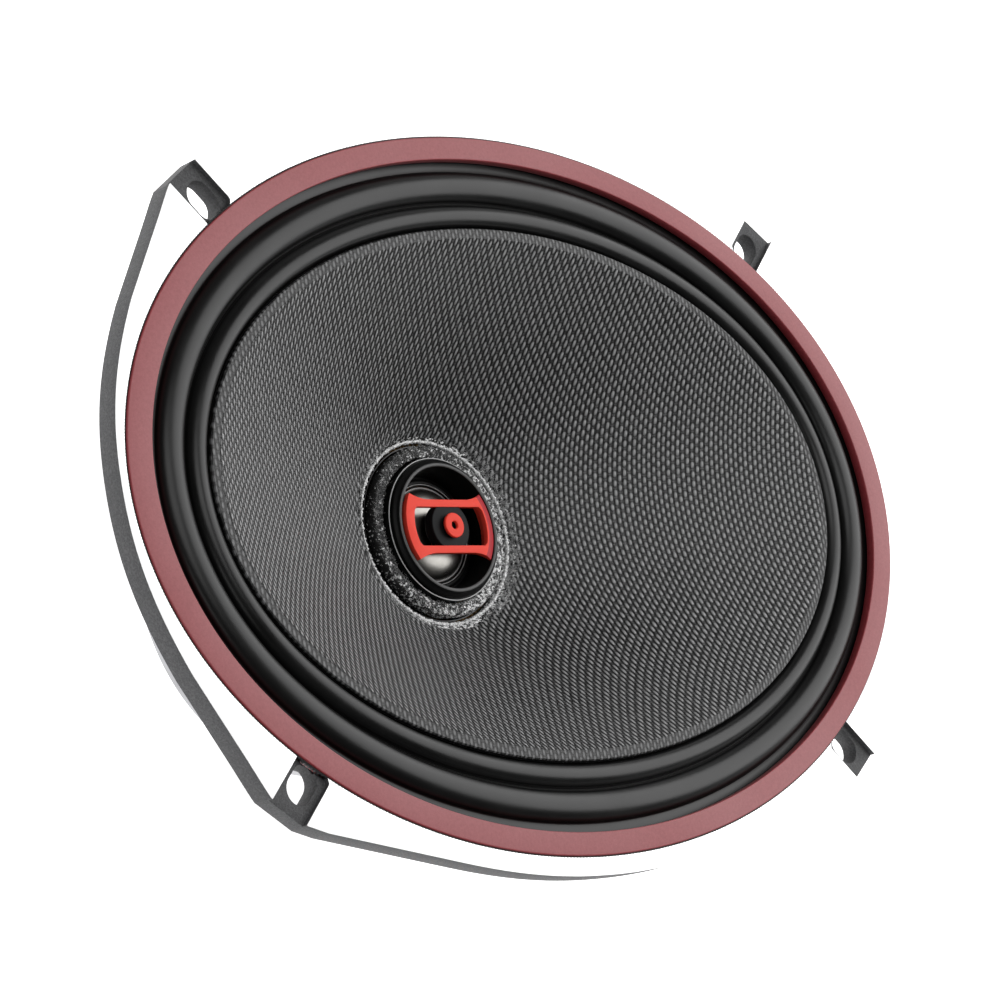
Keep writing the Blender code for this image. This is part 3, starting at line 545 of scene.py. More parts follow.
# Pale greys for thin rings on black and dark edges: painted highlights of those edges.
PAINTED_HIGHLIGHT_LINE = grained("painted_highlight_line", (0.7, 0.7, 0.7), (0.6, 0.6, 0.6), 0.5, 2.0, 0.004)
PAINTED_HIGHLIGHT_LINE_DIM = grained("painted_highlight_line_dim", (0.4, 0.4, 0.4), (0.3, 0.3, 0.3), 0.4, 2.0, 0.004)
DOME = grained("dome_film", (0.34, 0.33, 0.31), (0.28, 0.27, 0.25), 0.32, 0.6, 0.01, metallic=1.0)
GUARD = grained("guard_red", (1.0, 0.075, 0.045), (1.0, 0.065, 0.038), 0.5, 1.2, 0.008,
                specular_ior_level=0.2)
# A darker copy of the guard's red: painted shade for its slopes towards +X.
GUARD_PAINTED_SHADE = grained("guard_red_painted_shade", (0.55, 0.008, 0.02), (0.45, 0.005, 0.015), 0.5, 1.2, 0.008)
# As in every weave here, the first colour is painted shade for the gaps and the second carries painted highlight on the
# crowns.
LAMINATE = woven("board_laminate", 0.6, (0.02, 0.012, 0.008), (0.09, 0.055, 0.03), 0.5, 0.02)
TIN = turned_metal("terminal_tin", (0.75, 0.73, 0.68), 0.28, marks=2.0)
BRASS = turned_metal("brass_rivet", (0.8, 0.58, 0.25), 0.3)
CAPACITOR = grained("capacitor_film", (0.55, 0.09, 0.035), (0.42, 0.06, 0.02), 0.3, 0.8, 0.03, coat_weight=0.5)
BRAID = strands("tinsel_braid", (0.35, 0.3, 0.22), (0.75, 0.68, 0.55))
LEAD_RED = grained("lead_red", (0.6, 0.03, 0.03), (0.5, 0.02, 0.02), 0.4, 2.0, 0.01)
LEAD_BLACK = grained("lead_black", (0.02, 0.02, 0.02), (0.012, 0.012, 0.012), 0.4, 2.0, 0.01)

# ------------------------------------------------------- front of the frame

RING_HALF = half_axes("trim_ring")
RING_LOW, RING_TOP = heights("trim_ring")
FLANGE_TOP = RING_TOP - 0.4
FLANGE_BACK = FLANGE_TOP - 5.0
RING_SEAT = RING_LOW - GAP
RING_HOLE = (RING_HALF[0] - 6.1, RING_HALF[1] - 4.9)
FLANGE_HALF = half_axes("basket")
BOWL_OUTER = inset(RING_HOLE, -1.1)
BOWL_RIM = FLANGE_BACK - 6.6
BOWL_WALL = 3.0
POCKET_FLOOR = FLANGE_TOP - 1.2
EAR_CENTRE = (81.2, 58.1)
SLOT = (8.6, 6.2)
POCKET_WIDTH = 9.0
POCKET_REACH = 4.6
EAR_CORNER = (90.4, 60.3)
END_RUN = ((104.4, 36.6), (94.8, 52.8))
SPOKE_ANGLES = (0, 38, 90, 142, 180, 218, 270, 322)
SPOKE_WIDTH = 9.0
WINDOW_SPAN = (44.0, 71.5)
BASE_RADIUS = 46.0
BASE_HOLE = 25.0
CUP_RADIUS = 38.5
SPIDER_RADIUS = radius_of("spider") + GAP
SPIDER_SEAT = heights("spider")[0] - GAP
BASE_BACK = heights("basket")[0]
BASE_FLOOR = BASE_BACK + 3.3
SCREW_CIRCLE = 32.0
SCREW_HOLE = 2.3
CORNERS = ((1, 1), (-1, 1), (-1, -1), (1, -1))


def bezier(start, start_handle, end_handle, end, steps):
    """Points of a cubic curve from start to end, without the last one."""
    points = []
    for t in np.arange(steps) / steps:
        weights = ((1 - t) ** 3, 3 * t * (1 - t) ** 2, 3 * t * t * (1 - t), t ** 3)
        corners = (start, start_handle, end_handle, end)
        points.append(tuple(sum(w * c[i] for w, c in zip(weights, corners)) for i in (0, 1)))
    return points


def four_quadrants(quadrant):
    """A closed outline from its +X +Y quarter, +X axis first and +Y axis last."""
    upper = quadrant + [(-x, y) for x, y in reversed(quadrant[:-1])]
    return upper + [(x, -y) for x, y in reversed(upper[1:-1])]


def flange_outline():
    half_x, half_y = FLANGE_HALF
    end_bow = bezier((half_x, 0), (half_x, 14), (110.8, 24.2), END_RUN[0], 28)
    end_corner = bezier(END_RUN[1], (93.5, 55.0), (91.9, 58.0), EAR_CORNER, 8)
    side_bow = bezier((45.0, 75.6), (30.0, 79.2), (17.0, half_y), (0, half_y), 28)
    ear = [EAR_CORNER, (82.4, 66.2), (77.5, 67.9)]
    return four_quadrants(end_bow + [END_RUN[0]] + end_corner + ear + side_bow + [(0, half_y)])


def along_ear(distance, offset, sign_x, sign_y):
    """The point at a distance outwards along an ear, and an offset to its side."""
    half = math.sqrt(0.5)
    x = EAR_CENTRE[0] + (distance - offset) * half
    y = EAR_CENTRE[1] + (distance + offset) * half
    return sign_x * x, sign_y * y


def pocket_shape(sign_x, sign_y):
    half = POCKET_WIDTH / 2
    fillet = 1.4
    corner_low = arc((fillet - POCKET_REACH, fillet - half), (fillet, fillet), 270, 180, 6)
    corner_high = arc((fillet - POCKET_REACH, half - fillet), (fillet, fillet), 180, 90, 6)
    outline = [(24, -half)] + corner_low + corner_high + [(24, half)]
    outline = [along_ear(distance, offset, sign_x, sign_y) for distance, offset in outline]
    return add_object("pocket", extruded_mesh("pocket", outline, POCKET_FLOOR, RING_TOP + 2), COAT)


def slot_shape(sign_x, sign_y):
    radius = SLOT[1] / 2
    straight = SLOT[0] / 2 - radius
    outline = arc((straight, 0), (radius, radius), -90, 90, 20) + arc((-straight, 0), (radius, radius), 90, 270, 20)
    outline = [along_ear(distance, offset, sign_x, sign_y) for distance, offset in outline]
    return add_object("slot", extruded_mesh("slot", outline, FLANGE_BACK - 1, POCKET_FLOOR + 1), COAT)


def window_shape(first, second):
    """The wedge between two spokes, with its inner corner rounded."""
    low, high = math.radians(first), math.radians(second)
    middle = (low + high) / 2
    half = SPOKE_WIDTH / 2
    apex = half / math.sin((high - low) / 2)
    reach = 130.0
    sides = ((low, 1), (high, -1))
    ends = [(reach * math.cos(a) - s * half * math.sin(a), reach * math.sin(a) + s * half * math.cos(a)) for a, s in sides]
    inner = (apex * math.cos(middle), apex * math.sin(middle))
    outline = rounded([inner, *ends], 3.0, 8)
    return add_object("window", extruded_mesh("window", outline, *WINDOW_SPAN), COAT)


def oval_prism(half, low, high, steps=256):
    angles = np.linspace(0, 2 * math.pi, steps, endpoint=False)
    outline = [(half[0] * math.cos(a), half[1] * math.sin(a)) for a in angles]
    return add_object("prism", extruded_mesh("prism", outline, low, high), COAT)


def bowl_mesh():
    inner = inset(BOWL_OUTER, BOWL_WALL)
    inside = FLANGE_BACK + 1.0
    skirt = BOWL_RIM + 3.0
    loops = [
        (*BOWL_OUTER, inside),
        (*BOWL_OUTER, skirt),
        (*inset(BOWL_OUTER, 0.5), BOWL_RIM + 1.0),
        (*inset(BOWL_OUTER, 2.2), BOWL_RIM - 1.0),
        (BASE_RADIUS + 1.6, BASE_RADIUS + 1.2, SPIDER_SEAT + 0.4),
        (BASE_RADIUS + 0.2, BASE_RADIUS + 0.2, SPIDER_SEAT - 1.2),
        (BASE_RADIUS, BASE_RADIUS, SPIDER_SEAT - 2.4),
        (BASE_RADIUS, BASE_RADIUS, BASE_BACK + 0.6),
        (BASE_RADIUS - 0.6, BASE_RADIUS - 0.6, BASE_BACK),
        (BASE_HOLE, BASE_HOLE, BASE_BACK),
        (BASE_HOLE, BASE_HOLE, BASE_FLOOR),
        (CUP_RADIUS - 1.0, CUP_RADIUS - 1.0, BASE_FLOOR),
        (CUP_RADIUS, CUP_RADIUS, BASE_FLOOR + 1.0),
        (CUP_RADIUS, CUP_RADIUS, SPIDER_SEAT),
        (SPIDER_RADIUS, SPIDER_RADIUS, SPIDER_SEAT),
        (*inner, BOWL_RIM + 1.2),
        (*inner, inside),
    ]
    return oval_mesh("bowl", loops, 176)


def screw_places():
    turns = [math.radians(45 + 90 * quarter) for quarter in range(4)]
    return [(SCREW_CIRCLE * math.cos(turn), SCREW_CIRCLE * math.sin(turn)) for turn in turns]


def make_basket():
    basket = add_object("basket_casting", extruded_mesh("basket", flange_outline(), FLANGE_BACK, FLANGE_TOP), COAT)
    bowl = add_object("bowl", bowl_mesh(), COAT)
    board_low, board_high = node_box("terminal_board")
    boss_outline = [(-7, board_high[1] + GAP), (7, board_high[1] + GAP), (7, -52.5), (-7, -52.5)]
    boss = add_object("boss", extruded_mesh("boss", boss_outline, board_low[2] + 1, board_high[2] - 1), COAT)
    boolean(basket, "UNION", bowl, boss)
    cutters = [oval_prism(inset(RING_HOLE, 2.1), BOWL_RIM + 4, RING_TOP + 2)]
    cutters.append(oval_prism((RING_HALF[0] - 2.1, RING_HALF[1] - 1.8), RING_SEAT - 1.3, RING_TOP + 2))
    cutters.append(oval_prism(inset(RING_HALF, -GAP), RING_SEAT, RING_TOP + 2, 384))
    for signs in CORNERS:
        cutters += [pocket_shape(*signs), slot_shape(*signs)]
    for first, second in zip(SPOKE_ANGLES, SPOKE_ANGLES[1:] + (360,)):
        cutters.append(window_shape(first, second))
    for x, y in screw_places():
        hole = add_object("hole", extruded_mesh("hole", arc((x, y), (SCREW_HOLE,) * 2, 0, 352.5, 47), BASE_BACK - 2, BASE_FLOOR + 2))
        cutters.append(hole)
    boolean(basket, "DIFFERENCE", *cutters)
    bevel_basket(basket)
    place(basket, "frame", "basket_coat", "basket")


def bevel_basket(basket):
    """Breaks the casting's edges, and leaves its front face bright."""
    work = bmesh.new()
    work.from_mesh(basket.data)
    bmesh.ops.remove_doubles(work, verts=work.verts, dist=0.02 * MM)
    bmesh.ops.dissolve_degenerate(work, edges=work.edges, dist=0.01 * MM)
    work.normal_update()
    chosen = []
    for edge in work.edges:
        if len(edge.link_faces) != 2 or edge.calc_face_angle(0) < math.radians(40):
            continue
        height = (edge.verts[0].co.z + edge.verts[1].co.z) / 2 / MM
        middle = (edge.verts[0].co + edge.verts[1].co) / 2 / MM
        oval = math.hypot(middle.x / (RING_HALF[0] + 0.9), middle.y / (RING_HALF[1] + 0.9))
        if oval > 1 and height > FLANGE_BACK - 0.1:
            chosen.append(edge)
    bmesh.ops.bevel(work, geom=chosen, offset=0.28 * MM, offset_type="OFFSET", segments=2, profile=0.5,
                    affect="EDGES", clamp_overlap=True)
    basket.data.materials.append(BRIGHT)
    for face in work.faces:
        if face.normal.z > 0.9 and face.calc_center_median().z > (FLANGE_TOP - 0.25) * MM:
            face.material_index = 1
    work.to_mesh(basket.data)
    work.free()
    smooth(basket.data, 32)


def make_ring_seat_shadow_line():
    """A notched black band at the edge of the seat that the trim ring drops into: painted shadow for the gap round the
    ring.
    """
    teeth = 760
    count = teeth * 4
    angle = np.linspace(0, 2 * math.pi, count, endpoint=False)
    notch = np.tile((0.0, 0.2, 0.2, 0.0), teeth)
    rows = []
    for reach, height in ((0.05, -1.0), (0.05, 0.035), (0.16, 0.035), (0.16, -1.0)):
        grow = reach + (notch if reach > 0.1 else 0)
        rows.append(np.stack([(RING_HALF[0] + grow) * np.cos(angle), (RING_HALF[1] + grow) * np.sin(angle),
                              np.full(count, FLANGE_TOP + height)], axis=1))
    faces = grid_faces(len(rows), count, wrap_rows=True, wrap_columns=True)
    mesh = mesh_from("ring_seat_shadow_edge", np.concatenate(rows), faces[:, ::-1])
    place(add_object("ring_seat_shadow_edge", mesh, BLACK_STEEL), "frame", "basket_coat")


def make_trim_ring():
    outer, inner = RING_HALF, RING_HOLE
    section = [
        (inner[0], RING_TOP, inner[1]),
        (outer[0], RING_TOP, outer[1]),
        (outer[0], RING_LOW, outer[1]),
        (inner[0], RING_LOW, inner[1]),
    ]
    along_x = rounded([(x, z) for x, z, y in section], 0.3, 4)
    along_y = rounded([(y, z) for x, z, y in section], 0.3, 4)
    loops = [(x, y, z) for (x, z), (y, _) in zip(along_x, along_y)]
    mesh = smooth(oval_mesh("trim_ring", loops, 384), 40)
    place(add_object("trim_ring_finished", mesh, RING_RED), "frame", "ring_red", "trim_ring")


# ---------------------------------------------------------- surround, cone

CONE_HALF = half_axes("cone")
CONE_TOP = heights("cone")[1]
CONE_RIM = 2.2
CONE_THICK = 1.0
NECK_RADIUS = 20.3
NECK_HEIGHT = heights("cone")[0] + CONE_THICK
SURROUND_HALF = half_axes("surround")
BEAD_HALF = (21.5, 20.4)
PITCH = 1.05  # of the yarns
YARN_RISE = 0.22


def surround_section():
    """The surround's upper side as (inset from the ring's inner edge, height), and the thickness below it."""
    seat = RING_SEAT
    lip = CONE_TOP - CONE_THICK - GAP
    points = [(1.2, seat), (1.9, seat), (2.15, seat + 0.12)]
    points += arc((5.55, seat), (3.35, 2.4), 174, 8, 30)
    points += [(9.0, seat + 0.02), (9.1, seat + 0.1), (9.2, seat + 0.14), (9.3, seat + 0.08), (9.4, seat - 0.05)]
    points += arc((12.0, seat - 0.2), (2.5, 2.3), 172, 4, 26)
    points += [(14.6, lip + 0.5), (14.8, lip + 0.1), (15.2, lip), (16.4, lip)]
    return points


def make_surround():
    steps = 384
    thick = 0.9
    top = surround_section()
    loops = [(*SURROUND_HALF, RING_SEAT)]
    loops += [(RING_HOLE[0] - distance, RING_HOLE[1] - distance, height) for distance, height in top]
    under = []
    for index in range(len(top) - 1, -1, -1):
        before = np.array(top[max(index - 1, 0)])
        after = np.array(top[min(index + 1, len(top) - 1)])
        along = (after - before) / np.linalg.norm(after - before)
        distance, height = np.array(top[index]) + thick * np.array((along[1], -along[0]))
        under.append((RING_HOLE[0] - distance, RING_HOLE[1] - distance, height))
    loops += [loop for loop in under if loop[2] > RING_SEAT - 2.9]
    loops.append((*SURROUND_HALF, RING_SEAT - thick))
    mesh = smooth(oval_mesh("surround", loops[::-1], steps), 50)
    mesh.flip_normals()
    surround = add_object("surround_roll", mesh, RUBBER)
    flex(surround)
    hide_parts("surround")


def flex(obj):
    """Bakes a piece's placement into its mesh."""
    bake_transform(obj)


def cone_share(x, y):
    """How far a point is from the neck towards the rim: 0 on the neck, 1 where the flat rim starts."""
    rim = inset(CONE_HALF, CONE_RIM)
    low = np.full(np.shape(x), -0.25)
    high = np.full(np.shape(x), 1.3)
    for _ in range(30):
        middle = (low + high) / 2
        half_x = NECK_RADIUS + (rim[0] - NECK_RADIUS) * middle
        half_y = NECK_RADIUS + (rim[1] - NECK_RADIUS) * middle
        outside = np.hypot(x / half_x, y / half_y) > 1
        low = np.where(outside, middle, low)
        high = np.where(outside, high, middle)
    return (low + high) / 2


def cone_point(share, angle):
    rim = inset(CONE_HALF, CONE_RIM)
    half_x = NECK_RADIUS + (rim[0] - NECK_RADIUS) * share
    half_y = NECK_RADIUS + (rim[1] - NECK_RADIUS) * share
    return half_x * np.cos(angle), half_y * np.sin(angle)


def float_height(across, along, shift, width, length):
    """Height of the floats that run one way, one in every other cell of the weave's grid."""
    line = np.floor(across)
    side = (across - line - 0.5) / width
    reach = ((along - line - shift) % 2 - 0.5) / length
    reach = np.where(reach > 1 / length, reach - 2 / length, reach)
    return np.sqrt(np.clip(1 - side * side, 0, 1)) * np.cos(np.clip(reach, -1, 1) * math.pi / 2)


def yarn_height(x, y):
    """Height of the weave above its hollows: long floats along Y over short ones along X."""
    warp = float_height(x / PITCH, y / PITCH, 0, 0.46, 0.95)
    weft = float_height(y / PITCH, x / PITCH, 1, 0.42, 0.7)
    return np.maximum(warp, 0.45 * weft)


def neck_ripples(radius):
    """The pressed rings in the cloth beside the neck."""
    rings = ((22.4, 0.32, 0.35), (23.5, 0.3, 0.28))
    return sum(rise * np.exp(-(((radius - centre) / width) ** 2)) for centre, width, rise in rings)


def make_cone_cloth(side):
    """Half of the cone's woven front skin, as a height field over the yarns' own grid."""
    rim = inset(CONE_HALF, CONE_RIM)
    step_x, step_y = PITCH / 4, PITCH / 3
    x = side * np.arange(int(rim[0] / step_x) + 2) * step_x
    count_y = int(rim[1] / step_y) + 2
    y = (np.arange(-count_y, count_y) + 0.5) * step_y
    grid_x, grid_y = np.meshgrid(x, y, indexing="ij")
    share = cone_share(grid_x, grid_y).ravel()
    faces = grid_faces(len(x), len(y))[:, ::side]
    centre = share[faces].mean(axis=1)
    faces = faces[(centre > 0.004) & (centre < 0.998)]
    used, faces = np.unique(faces, return_inverse=True)
    faces = faces.reshape(-1, 4)
    x, y, share = grid_x.ravel()[used], grid_y.ravel()[used], share[used]
    edges = np.sort(np.concatenate([faces[:, [a, (a + 1) % 4]] for a in range(4)]), axis=1)
    pairs, times = np.unique(edges, axis=0, return_counts=True)
    border = np.unique(pairs[times == 1])
    border = border[(share[border] < 0.02) | (share[border] > 0.97)]
    spans = [NECK_RADIUS + (size - NECK_RADIUS) * share[border] for size in rim]
    angle = np.arctan2(y[border] / spans[1], x[border] / spans[0])
    share[border] = np.where(share[border] > 0.5, 1.0, 0.002)
    x[border], y[border] = cone_point(share[border], angle)
    z = NECK_HEIGHT + (CONE_TOP - NECK_HEIGHT) * share
    fade = np.clip((1 - share) / 0.012, 0, 1) * 0.75 + 0.25
    z = z + YARN_RISE * yarn_height(x, y) * fade + neck_ripples(np.hypot(x, y)) + 0.03
    name = f"cone_cloth_{'right' if side > 0 else 'left'}"
    mesh = smooth(mesh_from(name, np.stack([x, y, z], axis=1), faces), 180)
    place(add_object(name, mesh, GLASS_WEAVE.material), "woofer", "glass_weave")


def make_cone_body():
    """The closed cone under the cloth: a smooth front, the flat rim and the back."""
    rim = inset(CONE_HALF, CONE_RIM)
    front = [(*inset(CONE_HALF, 0.25), CONE_TOP), (*rim, CONE_TOP)]
    for share in np.linspace(1, 0, 13)[1:]:
        half = [NECK_RADIUS + (size - NECK_RADIUS) * share for size in rim]
        front.append((*half, NECK_HEIGHT + (CONE_TOP - NECK_HEIGHT) * share - 0.1))
    back = [(x, y, height - CONE_THICK + 0.15) for x, y, height in reversed(front)]
    edge = [(*CONE_HALF, CONE_TOP - CONE_THICK + 0.3), (*CONE_HALF, CONE_TOP - 0.25)]
    mesh = smooth(oval_mesh("cone_body", back + edge + front, 320), 40)
    place(add_object("cone_body", mesh, RIM_WEAVE.material), "woofer", "glass_weave", "cone")


def on_cone(x, y):
    """Height of the cone's front at a point."""
    return NECK_HEIGHT + (CONE_TOP - NECK_HEIGHT) * cone_share(x, y)


def make_neck_bead():
    """The pale bead of glue around the neck, uneven as it was laid; its white patches are painted glints."""
    steps, sides = 900, 12
    turn = np.linspace(0, 2 * math.pi, steps, endpoint=False)
    waves = ((0.05, 37, 0.3), (0.05, 61, 1.2), (0.06, 113, 2.0), (0.06, 173, 4.1))
    wobble = sum(size * np.sin(turn * rate + phase) for size, rate, phase in waves)
    around = np.linspace(0, 2 * math.pi, sides, endpoint=False)
    size = (0.38 + 1.3 * wobble)[:, None]
    out = size * np.cos(around)
    x = (BEAD_HALF[0] + out) * np.cos(turn)[:, None]
    y = (BEAD_HALF[1] + out) * np.sin(turn)[:, None]
    base = on_cone(BEAD_HALF[0] * np.cos(turn), BEAD_HALF[1] * np.sin(turn)) + 0.42
    points = np.stack([x, y, base[:, None] + size * np.sin(around)], axis=2)
    faces = grid_faces(steps, sides, wrap_rows=True, wrap_columns=True)
    mesh = smooth(mesh_from("neck_bead", points, faces), 180)
    place(add_object("neck_bead_laid", mesh, GLUE), "woofer", "neck_adhesive", "neck_bead")


def make_neck_fray():
    """The glue-soaked band of frayed cloth around the bead, widest towards +X and -Y."""
    steps, rows = 720, 14
    turn = np.linspace(0, 2 * math.pi, steps, endpoint=False)
    share = np.linspace(0, 1, rows)[:, None]
    wide = 1.0 + 1.5 * np.clip(np.cos(turn + 0.45), 0, 1) ** 1.5
    draw = np.random.default_rng(5)
    ragged = draw.uniform(-0.12, 0.12, (rows, steps)) * (share < 1)
    x = (BEAD_HALF[0] - 0.9 + (wide + 0.9) * share + ragged) * np.cos(turn)
    y = (BEAD_HALF[1] - 0.2 + (wide + 0.2) * share + ragged) * np.sin(turn)
    z = on_cone(x, y) + 0.24 + draw.uniform(-0.12, 0.12, (rows, steps))
    z = np.where((share == 0) | (share == 1), z - 0.35, z)
    faces = grid_faces(rows, steps, wrap_columns=True)
    mesh = smooth(mesh_from("neck_fray", np.stack([x, y, z], axis=2), faces), 180)
    place(add_object("neck_fray", mesh, FRAY), "woofer", "neck_adhesive")


def fibre_mesh(name, count, seed, inner, outer, length, width, height_of, lift, favour=None):
    """Many short curved fibres lying on a ring, each a thin three-sided tube."""
    draw = random.Random(seed)
    points, faces = [], []
    segments, sides = 4, 3
    pattern = grid_faces(segments + 1, sides, wrap_columns=True)
    while len(faces) < count:
        turn = draw.uniform(0, 2 * math.pi)
        reach = draw.uniform(inner, outer)
        if favour and draw.random() > favour(turn, reach):
            continue
        heading = draw.uniform(0, math.pi)
        bend = draw.uniform(-1.6, 1.6)
        size = draw.uniform(*length)
        thick = draw.uniform(*width)
        spot = np.array((reach * math.cos(turn), reach * math.sin(turn)))
        rise = draw.uniform(*lift)
        rings = []
        for step in range(segments + 1):
            t = step / segments
            way = heading + bend * (t - 0.5)
            ahead = np.array((math.cos(way), math.sin(way)))
            radius = math.hypot(*spot)
            height = height_of(radius) + rise * math.sin(math.pi * t) + thick * 0.3
            left = np.array((-ahead[1], ahead[0])) * thick
            rings.append(((*(spot + left), height), (*(spot - left), height), (*spot, height + thick * 1.4)))
            spot = spot + ahead * size / segments
        faces.append(pattern + len(faces) * (segments + 1) * sides)
        points.append(np.array(rings).reshape(-1, 3))
    return smooth(mesh_from(name, np.concatenate(points), np.concatenate(faces)), 180)


def make_neck_fibres():
    """Loose ends of glass fibre in the frayed band."""
    def favour(turn, reach):
        return 1.0 if reach < 22.2 + 1.2 * max(0.0, math.cos(turn + 0.45)) else 0.1

    def height(reach):
        return NECK_HEIGHT + (reach - NECK_RADIUS) * 0.75 + 0.2

    mesh = fibre_mesh("neck_fibres", 1500, 4, 21.6, 23.6, (0.4, 1.1), (0.04, 0.08), height, (0.05, 0.3), favour)
    place(add_object("neck_fibres", mesh, PALE_FIBRE), "woofer", "neck_adhesive")


def make_dust_seal():
    """The felt ring: a rounded, tufted band with pale fibres in it."""
    low, high = heights("dust_seal")
    outer = radius_of("dust_seal")
    inner = outer - 2.8
    steps = 560
    section = rounded(ring_section(inner, outer, low, high), 0.9, 6)
    extra = []
    for (radius, height), (next_radius, next_height) in zip(section, section[1:] + section[:1]):
        pieces = max(1, round(math.hypot(next_radius - radius, next_height - height) / 0.22))
        for piece in range(pieces):
            t = piece / pieces
            extra.append((radius + (next_radius - radius) * t, height + (next_height - height) * t))
    draw = np.random.default_rng(11)
    turn = np.linspace(0, 2 * math.pi, steps, endpoint=False)
    radius = np.array(extra)[:, 0, None] + draw.uniform(-0.16, 0.1, (len(extra), steps))
    height = np.array(extra)[:, 1, None] + draw.uniform(-0.2, 0.1, (len(extra), steps))
    points = np.stack([radius * np.cos(turn), radius * np.sin(turn), height], axis=2)
    mesh = smooth(mesh_from("dust_seal", points, grid_faces(len(extra), steps, True, True)), 180)
    place(add_object("dust_seal_felt", mesh, FELT), "woofer", "seal_felt", "dust_seal")
    fibres = fibre_mesh("seal_fibres", 1500, 9, inner + 0.2, outer - 0.1, (0.4, 1.3), (0.02, 0.04),
                        lambda reach: high - 0.1, (0.05, 0.3))
    place(add_object("seal_fibres", fibres, PALE_FIBRE), "woofer", "seal_felt")


def make_voice_coil():
    low = heights("voice_coil_former")[0]
    high = NECK_HEIGHT - 0.1
    outer = radius_of("voice_coil_former")
    section = rounded(ring_section(outer - 0.3, outer, low, high), 0.08, 2)
    turned("former_tube", section, FILM, "woofer", "former_film", ("voice_coil_former",))
    low, high = heights("voice_coil_winding")
    outer = radius_of("voice_coil_winding")
    wire = 0.5
    count = int((high - low) / wire)
    right = []
    for turn in range(count):
        centre = high - wire * (turn + 0.5)
        right += arc((outer - wire * 0.5, centre), (wire * 0.5, wire * 0.5), 80, -80, 4)
    section = [(outer - 0.8, high)] + right + [(outer - 0.8, high - count * wire)]
    turned("winding_turns", section, COPPER, "woofer", "copper_wire", ("voice_coil_winding",), angle=60)


make_basket()
make_ring_seat_shadow_line()
make_trim_ring()
make_surround()
make_cone_cloth(1)
make_cone_cloth(-1)
make_cone_body()
make_neck_bead()
make_neck_fray()
make_neck_fibres()
make_dust_seal()
make_voice_coil()

# ----------------------------------------------------------------- tweeter

HOUSING_LOW, HOUSING_TOP = heights("tweeter_housing")
HOUSING_RADIUS = radius_of("tweeter_housing")
HOUSING_WALL = 1.6
HOUSING_FLOOR = 2.0
POST_RADIUS = 4.1
POST_BORE = 2.3
DOME_RADIUS = radius_of("tweeter_dome")
DOME_LOW, DOME_TOP = heights("tweeter_dome")
BEZEL_LOW, BEZEL_TOP = heights("tweeter_bezel")
GUARD_LOW, GUARD_TOP = heights("tweeter_guard")
GUARD_RADIUS = radius_of("tweeter_guard")


def make_housing():
    inside = HOUSING_RADIUS - HOUSING_WALL
    bore = POST_RADIUS + GAP
    section = [
        (inside, HOUSING_TOP),
        (HOUSING_RADIUS, HOUSING_TOP),
        (HOUSING_RADIUS, HOUSING_LOW + 7.0),
        (HOUSING_RADIUS - 0.5, HOUSING_LOW + 6.6),
        (HOUSING_RADIUS - 0.5, HOUSING_LOW),
        (bore, HOUSING_LOW),
        (bore, HOUSING_LOW + HOUSING_FLOOR),
        (inside, HOUSING_LOW + HOUSING_FLOOR),
    ]
    turned("tweeter_can", rounded(section, 0.4, 4), HOUSING, "frame", "housing_black", ("tweeter_housing",))
    # A thin pale ring on the can's top edge: painted highlight of the glossy black edge.
    lip = arc((HOUSING_RADIUS - 0.11, HOUSING_TOP - 0.02), (0.11, 0.11), 180, -180, 12)[:-1]
    turned("tweeter_can_lip_highlight", lip, PAINTED_HIGHLIGHT_LINE, "frame", "housing_black", steps=256, angle=180)


def make_bezel():
    outer = radius_of("tweeter_bezel")
    inside = HOUSING_RADIUS - HOUSING_WALL - GAP
    section = [
        (13.55, BEZEL_TOP),
        (14.4, BEZEL_TOP),
        (14.6, BEZEL_TOP - 0.5),
        (outer, HOUSING_TOP + 0.7),
        (outer, HOUSING_TOP + GAP),
        (inside, HOUSING_TOP + GAP),
        (inside, BEZEL_LOW),
        (12.9, BEZEL_LOW),
        (13.1, BEZEL_LOW + 3.6),
    ]
    turned("bezel_body", rounded(section, 0.28, 5), HOUSING, "frame", "housing_black", ("tweeter_bezel",), 224)
    lip = arc((13.98, BEZEL_TOP - 0.18), (0.42, 0.28), 180, -180, 20)[:-1]
    turned("bezel_lip", lip, LIP, "frame", "housing_black", steps=256, angle=180)


def make_dome():
    thick = 0.25
    top = arc((0, DOME_LOW + 0.3), (DOME_RADIUS - 0.35, DOME_TOP - DOME_LOW - 0.3), 90, 0, 24)
    skirt = [(DOME_RADIUS, DOME_LOW + 0.3), (DOME_RADIUS, DOME_LOW)]
    under = arc((0, DOME_LOW), (DOME_RADIUS - 0.6, DOME_TOP - DOME_LOW - thick), 0, 90, 24)
    section = [(0.02, top[0][1])] + top[1:] + skirt + under[:-1] + [(0.02, under[-1][1])]
    turned("dome_shell", section, DOME, "tweeter_diaphragm", "dome_film", ("tweeter_dome",), 160, angle=40)
    # A thin pale ring round the dome's edge: painted highlight.
    rim = arc((DOME_RADIUS - 0.16, DOME_LOW + 0.42), (0.17, 0.17), 180, -180, 12)[:-1]
    turned("dome_rim_highlight", rim, PAINTED_HIGHLIGHT_LINE_DIM, "tweeter_diaphragm", "dome_film", steps=192, angle=180)


